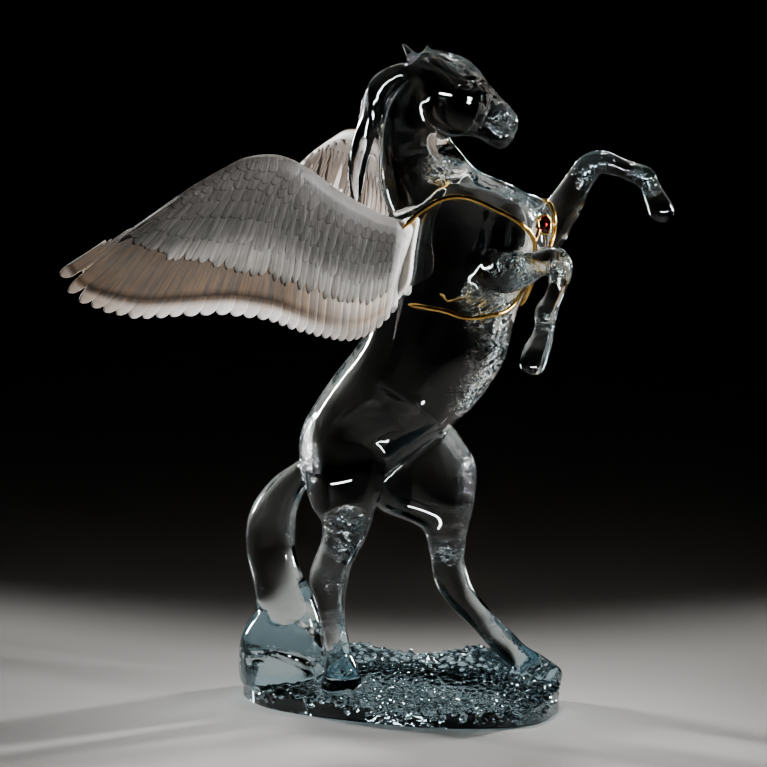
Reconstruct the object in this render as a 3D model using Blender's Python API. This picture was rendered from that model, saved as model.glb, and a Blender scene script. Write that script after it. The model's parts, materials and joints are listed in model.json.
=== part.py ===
# Crystal pegasus figurine: a rearing winged horse of clear crystal on its own rough crystal base,
# with two satin-frosted wings, two gold shoulder straps and a brooch with a red stone.
#
# Run with: blender --background --python part.py
#
# Lengths are metres unless a name or comment says otherwise. X is forward, Z is up, and the
# horse's right side is -Y. The origin is the centre of the base's underside.
#
# The horse is a free form. Its stations are written in drawn millimetres, read on a figure that is
# DRAWN_HEIGHT tall, and place() turns them into metres, so they are shares of FIGURE_HEIGHT.

import math

import bmesh
import bpy
from mathutils import Matrix, Vector, noise
from mathutils.bvhtree import BVHTree

# Figure and base
FIGURE_HEIGHT = 0.466          # ear tip above the base's rim
DRAWN_HEIGHT = 466.0           # the same height in the stations' millimetres
DRAWN_RIM = 16.0               # the height of the rim that the stations were read with
DRAWN_BASE_REACH = 123.5       # and how far behind the origin the base's rear end was
BASE_LENGTH = 0.247
BASE_WIDTH = 0.130
BASE_HEIGHT = 0.016            # flat underside to the rough top's rim
BASE_RISE = 0.009              # how much higher the rough top is at the back than at the front
MOUND_HEIGHT = 0.010           # the highest of the mounds along the back
ROUGH_SIZE = 0.011             # one lump of the rough top
ROUGH_DEPTH = 0.0035

# Wings
WING_SWEEP = 31.0              # degrees back from straight behind, outwards
WING_ROOT_THICKNESS = 0.013
WING_FRONT_THICKNESS = 0.0085  # along the leading edge
WING_REAR_THICKNESS = 0.0036   # at the feather tips
WING_LIFT = {-1: 0.0, 1: 2.5}  # degrees that each side's wing is tipped up about its root
WING_CAMBER = 0.005            # how far the middle of the wing bulges outwards
FLIGHT_FEATHERS = 26
FEATHER_STEP = 0.0014          # how far one feather stands over the next
COVERT_STEP = 0.0011           # how far a row of coverts stands over the row behind it
FLANGE_THICKNESS = 0.0042      # the plate that lies on the horse's side

# Metalwork
STRAP_DIAMETER = 0.0034
GEM_WIDTH = 0.0114
GEM_HEIGHT = 0.0126
GEM_CROWN = 0.0026             # stone above its girdle
GEM_SEAT = 0.0022              # stone below its girdle, in the setting
BEZEL_WALL = 0.0013
BEZEL_FLOOR = 0.0012
LINK_DIAMETER = 0.0028
BROOCH_STANDOFF = 0.0018       # the setting's back off the chest
FIT_GAP = 0.0003               # between any two pieces that meet

# Resolution
BODY_VOXEL = 0.0022
BODY_TRIANGLES = 4900
STRAP_SIDES = 6
STRAP_STEPS = 34

Y_NEAR = -1
Y_FAR = 1
FIGURE_SCALE = FIGURE_HEIGHT / DRAWN_HEIGHT


def place(x, y, z):
    # A point in drawn millimetres, as a point in metres on the base.
    return Vector((x, y, z - DRAWN_RIM)) * FIGURE_SCALE + Vector((0, 0, BASE_HEIGHT))


# Stations. Edge stations are (rear x, rear z, front x, front z, half width), in the horse's own
# middle plane or offset by a side step. Line stations are (x, y, z, half depth, half width).

TORSO = [
    (-60, 152, -46, 144, 22),
    (-73, 170, -24, 158, 33),
    (-76, 190, 4, 181, 38),
    (-70, 209, 28, 199, 41),
    (-58, 229, 44, 211, 41),
    (-44, 248, 57, 225, 41),
    (-32, 263, 67, 239, 42),
    (-23, 281, 77, 256, 43),
    (-18.5, 299, 83, 277, 43),
    (-15.5, 318, 89, 298, 42),
    (-12.5, 335, 98, 319, 41),
    (-8, 351, 108, 337, 40),
    (-9, 363, 103, 366, 37),
    (-13, 373, 86, 380, 33),
    (-15, 383, 66, 387, 28),
    (-16, 395, 54, 393, 24),
    (-16, 409, 45, 404, 20),
    (-14, 423, 37, 413, 17.5),
    (-11, 435, 35, 422, 16.5),
    (-5, 448, 34, 431, 15.5),
    (3, 459, 30, 441, 14),
]
HEAD = [
    (5, 468, 8, 452, 9),
    (17, 475, 14, 442, 12.5),
    (30, 477, 22, 428, 15.5),
    (41, 475, 30, 418.5, 17),
    (51.5, 471, 39, 415.5, 16.5),
    (61, 464, 48, 416, 14),
    (69, 455.5, 56, 416.5, 12),
    (77, 447.5, 63.5, 415.5, 10.5),
    (84, 441, 71, 411, 10.5),
    (90, 435, 79, 408.5, 10.5),
]
HEAD_TURN = 12.0               # degrees towards the right side, from the poll on
POLL_X = 12.0

NEAR_HIND = [
    (-36, -20, 205, 27, 17),
    (-32.5, -25, 188, 30, 19),
    (-32.5, -27, 168, 29.5, 19.5),
    (-32, -28, 153, 26, 18),
    (-31, -29, 142, 20.5, 15),
    (-32, -30, 131, 16.5, 12.5),
    (-35.5, -30, 120, 14.5, 11),
    (-40.5, -30, 109, 14, 10.5),
    (-44, -30, 97, 15, 10.5),
    (-44, -30, 86, 13.5, 9.5),
    (-42.5, -30, 75.5, 11.2, 9),
    (-41, -30, 64.5, 9.4, 8.5),
    (-38.5, -30, 51, 9.4, 9),
    (-36, -30, 40, 9.8, 9.6),
    (-34.5, -30, 28, 13.5, 13),
    (-34, -30, 13, 15, 15),
]
FAR_THIGH = [
    (-50, 190, 25, 208, 17),
    (-42, 164, 41, 191, 19),
    (-27, 139, 48, 173, 19.5),
    (-7, 131.5, 47.5, 156, 18),
    (6, 127, 45.5, 142, 15.5),
    (11.5, 118, 42.5, 127, 12.5),
    (13, 108, 39.5, 112, 10.5),
]
FAR_HIND = [
    (26, 30, 118, 14, 11),
    (26, 30, 103, 12.6, 10.3),
    (29, 30, 90, 13.6, 10.3),
    (37, 30, 76, 11.6, 9.3),
    (48, 30, 65, 10.2, 8.8),
    (59, 30, 54, 9.6, 8.5),
    (69, 30, 45, 10.4, 9.6),
    (80, 30, 36, 9.4, 9.2),
    (92, 30, 27.5, 11.5, 12.2),
    (105, 29, 19, 12, 13.5),
]
NEAR_FORE = [
    (72, -26, 334, 21, 13),
    (87, -33, 325, 15.5, 12),
    (101, -36, 326.5, 12.2, 11),
    (114, -36, 332, 9.8, 9),
    (126, -36, 336.5, 9.2, 8.8),
    (131.5, -36, 329, 8.4, 8.2),
    (128.5, -36, 316, 7.0, 7.0),
    (124, -36, 305, 7.2, 7.0),
    (120.5, -36, 298, 8.8, 8.2),
    (119.5, -36, 288, 6.9, 7.2),
    (117.5, -36, 279, 8.4, 8.6),
    (113.5, -36, 269, 10.0, 10.2),
    (110, -36, 259, 9.5, 10.5),
]
FAR_FORE = [
    (74, 26, 330, 23, 13),
    (90, 33, 340, 18, 12),
    (103, 36, 352, 14.4, 11),
    (115, 36, 371, 12.2, 10),
    (123, 36, 385, 10.2, 9),
    (131, 36, 395, 9.3, 8.8),
    (141, 36, 397.5, 8.2, 8.0),
    (151, 36, 394.5, 7.2, 7.2),
    (161, 36, 391, 7.2, 7.2),
    (170, 36, 388, 8.0, 8.0),
    (175, 36, 380, 6.8, 7.2),
    (178.5, 36, 372.5, 8.6, 8.8),
    (182.5, 36, 363.5, 9.4, 10.2),
]
TAIL = [
    (-66, 0, 172, 9, 10),
    (-77, 0, 165, 10, 11),
    (-90, 0, 151, 14, 13),
    (-100, 0, 130, 18, 15.5),
    (-101, 0, 108, 18.5, 15.5),
    (-97, -2, 93, 18, 16),
    (-91, -5, 78, 20.5, 17),
    (-86.5, -8, 66, 24, 19.5),
    (-86, -10, 54, 29, 22),
    (-87.5, -10, 40, 32.5, 27),
    (-89, -8, 26, 32.5, 34),
    (-90, -6, 12, 30.5, 38),
]
MANE = [
    (10, 0, 461, 8, 9),
    (-4, -1, 457.5, 8, 10),
    (-14, -2, 450, 9, 10.5),
    (-18.5, -3, 440, 8.8, 10.5),
    (-20.5, -3, 430, 8.0, 10),
    (-24.5, -3, 418, 7.6, 9.5),
    (-29, -3, 405, 7.6, 9),
    (-31.5, -3, 392, 7.4, 8),
    (-32.5, -3, 379, 5.8, 6.5),
    (-32.5, -3, 369, 3.6, 4.5),
    (-32, -3, 362, 1.6, 2),
]
EARS = [
    [(13, -7, 467, 6, 5), (9.5, -8, 474, 4, 3.4), (4, -8, 481.5, 1.3, 1.3)],
    [(19, 5, 470, 6, 5), (19, 5, 475, 4, 3.4), (18, 5, 479.5, 1.4, 1.4)],
]
HOOVES = [
    [(177, 36, 372.5, 7.5, 8.5), (182.5, 36, 365, 9.5, 10.5), (188, 36, 361, 6.8, 9.5)],
]
# Muscles and bone: centre x, y, z, half sizes x, y, z, and the tilt about Y in degrees.
LUMPS = [
    (58, -24, 336, 31, 16, 38, 18),
    (58, 24, 336, 31, 16, 38, 18),
    (88, -17, 347, 18, 21, 28, 14),
    (88, 17, 347, 18, 21, 28, 14),
    (-34, -21, 196, 27, 17, 34, 28),
    (-26, 21, 196, 28, 17, 34, 28),
    (42, -14, 443, 23, 7, 24, 0),
    (42, 2, 443, 23, 7, 24, 0),
]

# The wing as a fan of lines from its leading edge to its feather tips: the share of the way from
# root to tip, then how far out and how high each end of the line is, in drawn millimetres.
WING_FAN = [
    (0.0, -1.5, 358, 7.5, 296),
    (0.1, 15, 363, 24, 280),
    (0.2, 32.5, 372, 40, 274),
    (0.3, 50.5, 383, 58, 276.5),
    (0.4, 69.5, 397, 77, 282),
    (0.5, 83.5, 404.5, 98, 289.5),
    (0.6, 96.5, 407, 128.5, 294.5),
    (0.7, 114, 405, 164, 294),
    (0.8, 130, 397.5, 195, 294.5),
    (0.9, 152.5, 385, 223, 303),
    (0.95, 170, 373, 236.5, 312),
    (1.0, 187.5, 361.5, 245.5, 330.5),
]
WING_ROOT = (17.7, 38.0)
WING_PIVOT = 330.0
# The flange's outline on the horse's side: forward x and height.
FLANGE = [
    (7, 352), (13, 358), (20, 361), (27, 360), (26, 349), (24.5, 336), (23.5, 322),
    (21.5, 314), (17, 308), (11, 303), (5, 306), (2, 320),
]
FLANGE_SLOPE = 0.36            # how much further out the horse's side is for each step forward

# The strap's route on the horse, from the flange's top over the shoulder, down the chest, between
# the forelegs and back round the girth to the wing's lower corner: x, y outwards, z, and how far
# it stands off the horse there, to pass over the flange.
STRAP_ROUTE = [
    (17, 47, 354, 9), (22, 45, 359, 7), (28, 42, 365, 4), (36, 38, 371, 0), (47, 36, 376, 0),
    (58, 34, 377, 0), (69, 33, 374.5, 0), (80, 31, 369, 0), (90, 27, 361, 0), (98, 23, 351, 0),
    (102, 18, 341, 0), (103, 13, 330, 0), (101, 10, 318, 0), (96, 10, 306, 0), (86, 15, 298, 0),
    (75, 24, 294, 0), (60, 33, 293, 0), (44, 38, 297, 0), (31, 41, 299.5, 0), (22, 42, 300, 0),
]
BROOCH_PLACE = (107, -7.5, 356)
BROOCH_FACING = (0.88, -0.45, 0.14)


def smooth_rows(rows, steps):
    # A Catmull-Rom curve through rows of numbers, with steps points in each stretch.
    ends = [[2 * a - b for a, b in zip(rows[0], rows[1])]]
    tail = [[2 * a - b for a, b in zip(rows[-1], rows[-2])]]
    knots = ends + [list(row) for row in rows] + tail
    out = []
    for i in range(1, len(knots) - 2):
        for step in range(steps):
            t = step / steps
            out.append([curve_value(t, *values) for values in zip(*knots[i - 1:i + 3])])
    out.append(knots[-2])
    return out


def curve_value(t, before, start, end, after):
    slope_in = (end - before) / 2
    slope_out = (after - start) / 2
    a = 2 * start - 2 * end + slope_in + slope_out
    b = -3 * start + 3 * end - 2 * slope_in - slope_out
    return ((a * t + b) * t + slope_in) * t + start


def smoothstep(low, high, value):
    t = min(1.0, max(0.0, (value - low) / (high - low)))
    return t * t * (3 - 2 * t)


# Sections. A section is the row (centre x, y, z, depth x, depth z, half width).

def edge_sections(stations, shift):
    rows = []
    for rear_x, rear_z, front_x, front_z, half_width in smooth_rows(stations, 4):
        middle_x = (rear_x + front_x) / 2
        middle_z = (rear_z + front_z) / 2
        depth_x = (front_x - rear_x) / 2
        depth_z = (front_z - rear_z) / 2
        rows.append((middle_x, shift(middle_x), middle_z, depth_x, depth_z, half_width))
    return rows


def line_sections(stations):
    rows = smooth_rows(stations, 4)
    out = []
    for i, (x, y, z, half_depth, half_width) in enumerate(rows):
        before = rows[max(0, i - 1)]
        after = rows[min(len(rows) - 1, i + 1)]
        along = Vector((after[0] - before[0], after[2] - before[2])).normalized()
        out.append((x, y, z, -along.y * half_depth, along.x * half_depth, half_width))
    return out


def section_ring(row, scale, offset, sides):
    x, y, z, depth_x, depth_z, half_width = row
    points = []
    for i in range(sides):
        angle = 2 * math.pi * i / sides
        across = math.cos(angle) * scale
        side = math.sin(angle) * scale
        points.append(place(x + offset.x + depth_x * across, y + offset.y + half_width * side,
                            z + offset.z + depth_z * across))
    return points


def rounded_rings(rows, cap_start, cap_end, sides):
    # Rings along the rows, with a rounded cap of the given length in millimetres at each end.
    centres = [Vector(row[:3]) for row in rows]
    back = (centres[0] - centres[1]).normalized() * cap_start
    on = (centres[-1] - centres[-2]).normalized() * cap_end
    shares = (0.985, 0.9, 0.7, 0.4)
    rings = [section_ring(rows[0], math.sqrt(1 - s * s), back * s, sides) for s in shares]
    rings += [section_ring(row, 1.0, Vector(), sides) for row in rows]
    rings += [section_ring(rows[-1], math.sqrt(1 - s * s), on * s, sides) for s in reversed(shares)]
    return rings


def add_loft(mesh, rings):
    # A closed skin over the rings, wound so that its faces look outwards.
    rows = [[mesh.verts.new(point) for point in ring] for ring in rings]
    faces = [mesh.faces.new(list(reversed(rows[0]))), mesh.faces.new(rows[-1])]
    for lower, upper in zip(rows, rows[1:]):
        for i in range(len(lower)):
            faces.append(mesh.faces.new((lower[i - 1], lower[i], upper[i], upper[i - 1])))
    bmesh.ops.recalc_face_normals(mesh, faces=faces)
    return rows


def add_lump(mesh, centre_x, centre_y, centre_z, half_x, half_y, half_z, tilt):
    middle = place(centre_x, centre_y, centre_z)
    turn = Matrix.Rotation(math.radians(tilt), 4, "Y")
    size = Matrix.Diagonal((half_x * FIGURE_SCALE, half_y * FIGURE_SCALE, half_z * FIGURE_SCALE, 1))
    bmesh.ops.create_uvsphere(mesh, u_segments=24, v_segments=14, radius=1.0,
                              matrix=Matrix.Translation(middle) @ turn @ size)


# The base: an oval slab with a rough top, which the hooves and the tail stand in.

def base_outline(angle):
    # A slightly squared oval with a slow wobble, as a hand-gathered slab has.
    power = 2 / 2.35
    cos, sin = math.cos(angle), math.sin(angle)
    x = math.copysign(abs(cos) ** power, cos) * BASE_LENGTH / 2
    y = math.copysign(abs(sin) ** power, sin) * BASE_WIDTH / 2
    wobble = 1 - 0.012 * (1 + math.cos(3 * angle + 0.6)) - 0.010 * (1 + math.cos(7 * angle))
    return x * wobble, y * wobble


def rough(x, y):
    # Sharp-edged lumps, like crushed ice, between 0 and 1.
    point = Vector((x, y, 0)) / ROUGH_SIZE
    near, second = noise.voronoi(point)[0][:2]
    return min(1.0, (second - near) * 1.4)


def base_top(x, y, share):
    # The height of the top; share is 0 in the middle and 1 at the rim.
    behind = smoothstep(-0.1 * BASE_WIDTH, 0.42 * BASE_WIDTH, y)
    rise = BASE_RISE * smoothstep(-0.4 * BASE_WIDTH, 0.4 * BASE_WIDTH, y)
    mound = MOUND_HEIGHT * math.exp(-((x - 0.18 * BASE_LENGTH) / (0.10 * BASE_LENGTH)) ** 2)
    mound += 0.5 * MOUND_HEIGHT * math.exp(-((x + 0.2 * BASE_LENGTH) / (0.08 * BASE_LENGTH)) ** 2)
    lumps = ROUGH_DEPTH * (rough(x, y) - 0.4) * smoothstep(1.0, 0.93, share)
    round_off = 0.0035 * smoothstep(0.93, 1.0, share)
    return BASE_HEIGHT + rise + mound * behind + lumps - round_off


def add_base(mesh):
    around = 120
    radial = 28
    sunk = -0.004
    angles = [2 * math.pi * i / around for i in range(around)]
    rings = []
    for step in range(1, radial + 1):
        share = step / radial
        ring = []
        for angle in angles:
            x, y = base_outline(angle)
            x, y = x * share, y * share
            ring.append(Vector((x, y, base_top(x, y, share))))
        rings.append(ring)
    outline = [base_outline(angle) for angle in angles]
    for level in (0.45, sunk / BASE_HEIGHT):
        rings.append([Vector((x, y, BASE_HEIGHT * level)) for x, y in outline])
    add_loft(mesh, rings)


def tail_stations():
    # The tail spreads out to the base's rear end, so its foot follows the base's length.
    reach = BASE_LENGTH / 2 / FIGURE_SCALE - DRAWN_BASE_REACH
    return [(x - reach * smoothstep(90, 45, z), y, z, *size) for x, y, z, *size in TAIL]


def add_horse(mesh):
    sides = 24
    turn = math.tan(math.radians(HEAD_TURN))
    add_loft(mesh, rounded_rings(edge_sections(TORSO, lambda x: 0.0), 14, 8, sides))
    head = edge_sections(HEAD, lambda x: -turn * max(0.0, x - POLL_X))
    add_loft(mesh, rounded_rings(head, 6, 7, sides))
    thigh = [(x, 27, *rest) for x, shift, *rest in edge_sections(FAR_THIGH, lambda x: 27.0)]
    add_loft(mesh, rounded_rings(thigh, 6, 3, sides))
    for leg, cap in ((NEAR_HIND, 4), (FAR_HIND, 8), (NEAR_FORE, 5), (FAR_FORE, 3)):
        add_loft(mesh, rounded_rings(line_sections(leg), 12, cap, sides))
    for hoof in HOOVES:
        add_loft(mesh, rounded_rings(line_sections(hoof), 3, 3, sides))
    add_loft(mesh, rounded_rings(line_sections(tail_stations()), 4, 4, sides))
    add_loft(mesh, rounded_rings(line_sections(MANE), 4, 2, sides))
    for ear in EARS:
        add_loft(mesh, rounded_rings(line_sections(ear), 3, 1, sides))
    for lump in LUMPS:
        add_lump(mesh, *lump)


# The wings

def fan_line(share):
    # The two ends of the fan's line at this share, by a smooth curve through the fan.
    rows = WING_FAN
    i = max(k for k in range(len(rows) - 1) if rows[k][0] <= share or k == 0)
    before, start, end, after = rows[max(0, i - 1)], rows[i], rows[i + 1], rows[min(len(rows) - 1, i + 2)]
    span = end[0] - start[0]
    t = (share - start[0]) / span
    values = []
    for k in range(1, 5):
        slope_in = (end[k] - before[k]) / (end[0] - before[0]) * span
        slope_out = (after[k] - start[k]) / (after[0] - start[0]) * span
        a = 2 * start[k] - 2 * end[k] + slope_in + slope_out
        b = -3 * start[k] + 3 * end[k] - 2 * slope_in - slope_out
        values.append(((a * t + b) * t + slope_in) * t + start[k])
    return values


def wing_point(side, share, reach, offset):
    # share runs from root to tip, reach from the leading edge to the feather tips, and offset is
    # metres outwards from the wing's middle sheet.
    lead_out, lead_up, tip_out, tip_up = fan_line(share)
    out = lead_out + (tip_out - lead_out) * reach
    up = lead_up + (tip_up - lead_up) * reach
    lift = math.radians(WING_LIFT[side])
    out, up = (out * math.cos(lift) - (up - WING_PIVOT) * math.sin(lift),
               WING_PIVOT + (up - WING_PIVOT) * math.cos(lift) + out * math.sin(lift))
    sweep = math.radians(WING_SWEEP)
    root_x, root_y = WING_ROOT
    point = place(root_x - math.cos(sweep) * out, -root_y - math.sin(sweep) * out, up)
    bulge = WING_CAMBER * math.sin(math.pi * min(1.0, reach)) * smoothstep(0.0, 0.3, share)
    point += Vector((math.sin(sweep), -math.cos(sweep), 0)) * (offset + bulge)
    return Vector((point.x, point.y * -side, point.z))


def wing_half_thickness(share, reach):
    root = WING_ROOT_THICKNESS - WING_FRONT_THICKNESS
    front = WING_FRONT_THICKNESS + root * smoothstep(0.35, 0.0, share)
    front *= 1 - 0.35 * smoothstep(0.6, 1.0, share)
    thickness = front + (WING_REAR_THICKNESS - front) * smoothstep(0.0, 1.0, reach ** 0.75)
    return thickness / 2 * (0.35 + 0.65 * smoothstep(-0.02, 0.06, reach))


def outer_offset(share, reach, across):
    # Each flight feather stands over the next, and each row of coverts over the row behind it.
    step = FEATHER_STEP * (across - 0.5) * smoothstep(0.1, 0.55, reach)
    step += COVERT_STEP * (reach < 0.27) + COVERT_STEP * (reach < 0.51)
    return wing_half_thickness(share, reach) + step * smoothstep(0.0, 0.08, reach)


def add_wing(mesh, side):
    across_steps = (0.03, 0.5, 0.97)
    columns = [(k, a) for k in range(FLIGHT_FEATHERS) for a in across_steps]
    outer_reach = (0.0, 0.07, 0.26, 0.28, 0.50, 0.52, 1.0)
    inner_reach = (0.0, 0.45, 1.0)
    rows = []
    for reach in outer_reach:
        row = []
        for feather, across in columns:
            share = (feather + across) / FLIGHT_FEATHERS
            scallop = 0.035 * (1 - math.sin(math.pi * across)) * smoothstep(0.6, 1.0, reach)
            offset = outer_offset(share, reach, across)
            row.append(mesh.verts.new(wing_point(side, share, reach - scallop, offset)))
        rows.append(row)
    for reach in reversed(inner_reach):
        row = []
        for feather, across in columns:
            share = (feather + across) / FLIGHT_FEATHERS
            scallop = 0.035 * (1 - math.sin(math.pi * across)) * smoothstep(0.6, 1.0, reach)
            offset = -wing_half_thickness(share, reach)
            row.append(mesh.verts.new(wing_point(side, share, reach - scallop, offset)))
        rows.append(row)
    faces = []
    for upper, lower in zip(rows, rows[1:] + rows[:1]):
        for i in range(len(upper) - 1):
            faces.append(mesh.faces.new((upper[i], upper[i + 1], lower[i + 1], lower[i])))
    for end in (0, -1):
        faces.append(mesh.faces.new([row[end] for row in rows]))
    bmesh.ops.recalc_face_normals(mesh, faces=faces)


def add_flange(mesh, side):
    # A plate with a bevelled rim; its inner face is cut to the horse's side later.
    root_x, root_y = WING_ROOT
    inner, outer = [], []
    middle_x = sum(x for x, z in FLANGE) / len(FLANGE)
    middle_z = sum(z for x, z in FLANGE) / len(FLANGE)
    rings = []
    proud = FLANGE_THICKNESS / FIGURE_SCALE
    for depth, shrink in ((-8.0, 1.0), (proud * 0.6, 1.0), (proud, 0.82)):
        ring = []
        for x, z in FLANGE:
            x = middle_x + (x - middle_x) * shrink
            z = middle_z + (z - middle_z) * (1 - (1 - shrink) * 0.3)
            y = root_y - 1.5 + FLANGE_SLOPE * (x - root_x) + depth
            ring.append(place(x, y * side, z))
        rings.append(ring)
    add_loft(mesh, rings)


# The metalwork

def add_tube(mesh, points, radii, sides):
    # A tube along the points, with frames carried on from point to point.
    rings = []
    normal = Vector((0, 0, 1))
    for i, point in enumerate(points):
        along = (points[min(len(points) - 1, i + 1)] - points[max(0, i - 1)]).normalized()
        normal = (normal - along * normal.dot(along)).normalized()
        side = along.cross(normal)
        ring = []
        for k in range(sides):
            angle = 2 * math.pi * k / sides
            ring.append(point + (normal * math.cos(angle) + side * math.sin(angle)) * radii[i])
        rings.append(ring)
    add_loft(mesh, rings)


def surface_tree(source):
    bpy.context.view_layer.update()
    return BVHTree.FromObject(source, bpy.context.evaluated_depsgraph_get())


def settle(point, tree, distance, pull=False):
    # The point, moved to stand the given distance off the surface; pull brings far points back.
    nearest, normal, index, away = tree.find_nearest(point)
    inside = (point - nearest).dot(normal) < 0
    if inside or away < distance or pull:
        return nearest + normal * distance
    return point


def strap_points(side, horse_tree):
    rows = smooth_rows(STRAP_ROUTE, 8)
    lifts = [lift * FIGURE_SCALE + STRAP_DIAMETER / 2 + 2 * FIT_GAP for x, y, z, lift in rows]
    fine = [place(x, y * side, z) for x, y, z, lift in rows]
    fine = [settle(point, horse_tree, lift, True) for point, lift in zip(fine, lifts)]
    for turn in range(8):
        middles = [(a + b * 2 + c) / 4 for a, b, c in zip(fine, fine[1:], fine[2:])]
        fine = [fine[0]] + middles + [fine[-1]]
        fine = [settle(point, horse_tree, lift) for point, lift in zip(fine, lifts)]
    return spaced(fine, STRAP_STEPS)


def spaced(points, count):
    # The same route with its points the same distance apart.
    lengths = [0.0]
    for a, b in zip(points, points[1:]):
        lengths.append(lengths[-1] + (b - a).length)
    out = []
    k = 0
    for step in range(count + 1):
        wanted = lengths[-1] * step / count
        while k < len(points) - 2 and lengths[k + 1] < wanted:
            k += 1
        share = (wanted - lengths[k]) / max(1e-9, lengths[k + 1] - lengths[k])
        out.append(points[k].lerp(points[k + 1], min(1.0, share)))
    return out


def strap_radii(count):
    # A spear-like tip at the flange, then round wire to the other end.
    radii = []
    for i in range(count):
        share = i / (count - 1)
        tip = 0.30 + 0.70 * smoothstep(0.0, 0.05, share)
        end = 0.45 + 0.55 * smoothstep(1.0, 0.97, share)
        radii.append(STRAP_DIAMETER / 2 * tip * end)
    return radii


def brooch_frame(horse_tree):
    facing = Vector(BROOCH_FACING).normalized()
    up = (Vector((0, 0, 1)) - facing * facing.z).normalized()
    across = up.cross(facing)
    turn = Matrix((across, up, facing)).transposed().to_4x4()
    seat = settle(place(*BROOCH_PLACE), horse_tree, BROOCH_STANDOFF, True)
    return Matrix.Translation(seat) @ turn


def cut_ring(frame, width, height, level, sides=8):
    ring = []
    for k in range(sides):
        angle = 2 * math.pi * (k + 0.5) / sides
        ring.append(frame @ Vector((math.cos(angle) * width / 2, math.sin(angle) * height / 2, level)))
    return ring


def add_gem(mesh, frame):
    base = BEZEL_FLOOR + FIT_GAP
    girdle = base + GEM_SEAT
    levels = (
        (0.55, base), (0.98, girdle - 0.0003), (1.0, girdle), (0.98, girdle + 0.0004),
        (0.80, girdle + GEM_CROWN * 0.65), (0.58, girdle + GEM_CROWN),
    )
    add_loft(mesh, [cut_ring(frame, GEM_WIDTH * s, GEM_HEIGHT * s, level) for s, level in levels])


def setting_sizes():
    # The inside and outside of the setting's wall, corner to corner, across and up.
    flat = math.cos(math.pi / 8)
    inner = [size + 2 * FIT_GAP / flat for size in (GEM_WIDTH, GEM_HEIGHT)]
    outer = [size + 2 * BEZEL_WALL / flat for size in inner]
    return inner, outer


def add_setting(mesh, frame):
    # A cup round the stone: outside up, over the lip, and down the inside to the floor.
    inner, outer = setting_sizes()
    lip = BEZEL_FLOOR + FIT_GAP + GEM_SEAT + 0.0006
    rings = [
        cut_ring(frame, outer[0] * 0.86, outer[1] * 0.86, 0),
        cut_ring(frame, outer[0], outer[1], lip * 0.45),
        cut_ring(frame, outer[0] * 0.97, outer[1] * 0.97, lip),
        cut_ring(frame, inner[0], inner[1], lip),
        cut_ring(frame, inner[0], inner[1], BEZEL_FLOOR),
    ]
    add_loft(mesh, rings)


# Objects, modifiers and materials

def material(name, colour, roughness, metallic=0.0, transmission=0.0, ior=1.45):
    made = bpy.data.materials.new(name)
    made.use_nodes = True
    made.diffuse_color = (*colour, 1.0)
    shader = made.node_tree.nodes["Principled BSDF"]
    shader.inputs["Base Color"].default_value = (*colour, 1.0)
    shader.inputs["Roughness"].default_value = roughness
    shader.inputs["Metallic"].default_value = metallic
    shader.inputs["Transmission Weight"].default_value = transmission
    shader.inputs["IOR"].default_value = ior
    return made


def new_object(name, mesh, look=None):
    data = bpy.data.meshes.new(name)
    mesh.to_mesh(data)
    mesh.free()
    return link_object(name, data, look)


def link_object(name, data, look=None):
    made = bpy.data.objects.new(name, data)
    bpy.context.collection.objects.link(made)
    if look:
        data.materials.append(look)
    return made


def set_aside(tool):
    tool.hide_render = True
    tool.display_type = "WIRE"
    tool.hide_set(True)


def add_boolean(target, other, operation):
    cut = target.modifiers.new(operation.title() + " " + other.name, "BOOLEAN")
    cut.operation = operation
    cut.solver = "EXACT"
    cut.object = other
    set_aside(other)


def evaluated_copy(source):
    bpy.context.view_layer.update()
    graph = bpy.context.evaluated_depsgraph_get()
    return bpy.data.meshes.new_from_object(source.evaluated_get(graph))


def clearance_of(source):
    # A slightly swollen copy of a finished piece, for cutting its neighbours clear of it.
    swollen = link_object(source.name + "_clearance", evaluated_copy(source))
    swell = swollen.modifiers.new("Fit gap", "DISPLACE")
    swell.strength = FIT_GAP * 1.4
    swell.mid_level = 0.0
    set_aside(swollen)
    return swollen


def shape_body(target):
    # Fuse the lofts into one skin, soften it like fire-polished glass, and thin it out.
    remesh = target.modifiers.new("Fuse", "REMESH")
    remesh.mode = "VOXEL"
    remesh.voxel_size = BODY_VOXEL
    soften = target.modifiers.new("Fire polish", "SMOOTH")
    soften.factor = 0.5
    soften.iterations = 12
    dense = evaluated_copy(target)
    triangles = sum(len(face.vertices) - 2 for face in dense.polygons)
    bpy.data.meshes.remove(dense)
    thin = target.modifiers.new("Thin out", "DECIMATE")
    thin.ratio = min(1.0, BODY_TRIANGLES / triangles)


def floor_cutter():
    mesh = bmesh.new()
    depth = 0.05
    size = Matrix.Diagonal((3 * BASE_LENGTH, 3 * BASE_LENGTH, depth, 1))
    bmesh.ops.create_cube(mesh, size=1.0, matrix=Matrix.Translation((0, 0, -depth / 2)) @ size)
    return new_object("floor_cutter", mesh)


def build_horse(look):
    mesh = bmesh.new()
    add_base(mesh)
    add_horse(mesh)
    horse = new_object("crystal_horse", mesh, look)
    shape_body(horse)
    add_boolean(horse, floor_cutter(), "DIFFERENCE")
    return horse


def build_wing(name, side, look, clearance):
    mesh = bmesh.new()
    add_wing(mesh, side)
    wing = new_object(name, mesh, look)
    plate = bmesh.new()
    add_flange(plate, side)
    add_boolean(wing, new_object(name + "_flange", plate), "UNION")
    add_boolean(wing, clearance, "DIFFERENCE")
    return wing


def build_strap(name, side, look, horse_tree, clearances):
    points = strap_points(side, horse_tree)
    mesh = bmesh.new()
    add_tube(mesh, points, strap_radii(len(points)), STRAP_SIDES)
    strap = new_object(name, mesh, look)
    for clearance in clearances:
        add_boolean(strap, clearance, "DIFFERENCE")
    return strap, points


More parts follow.
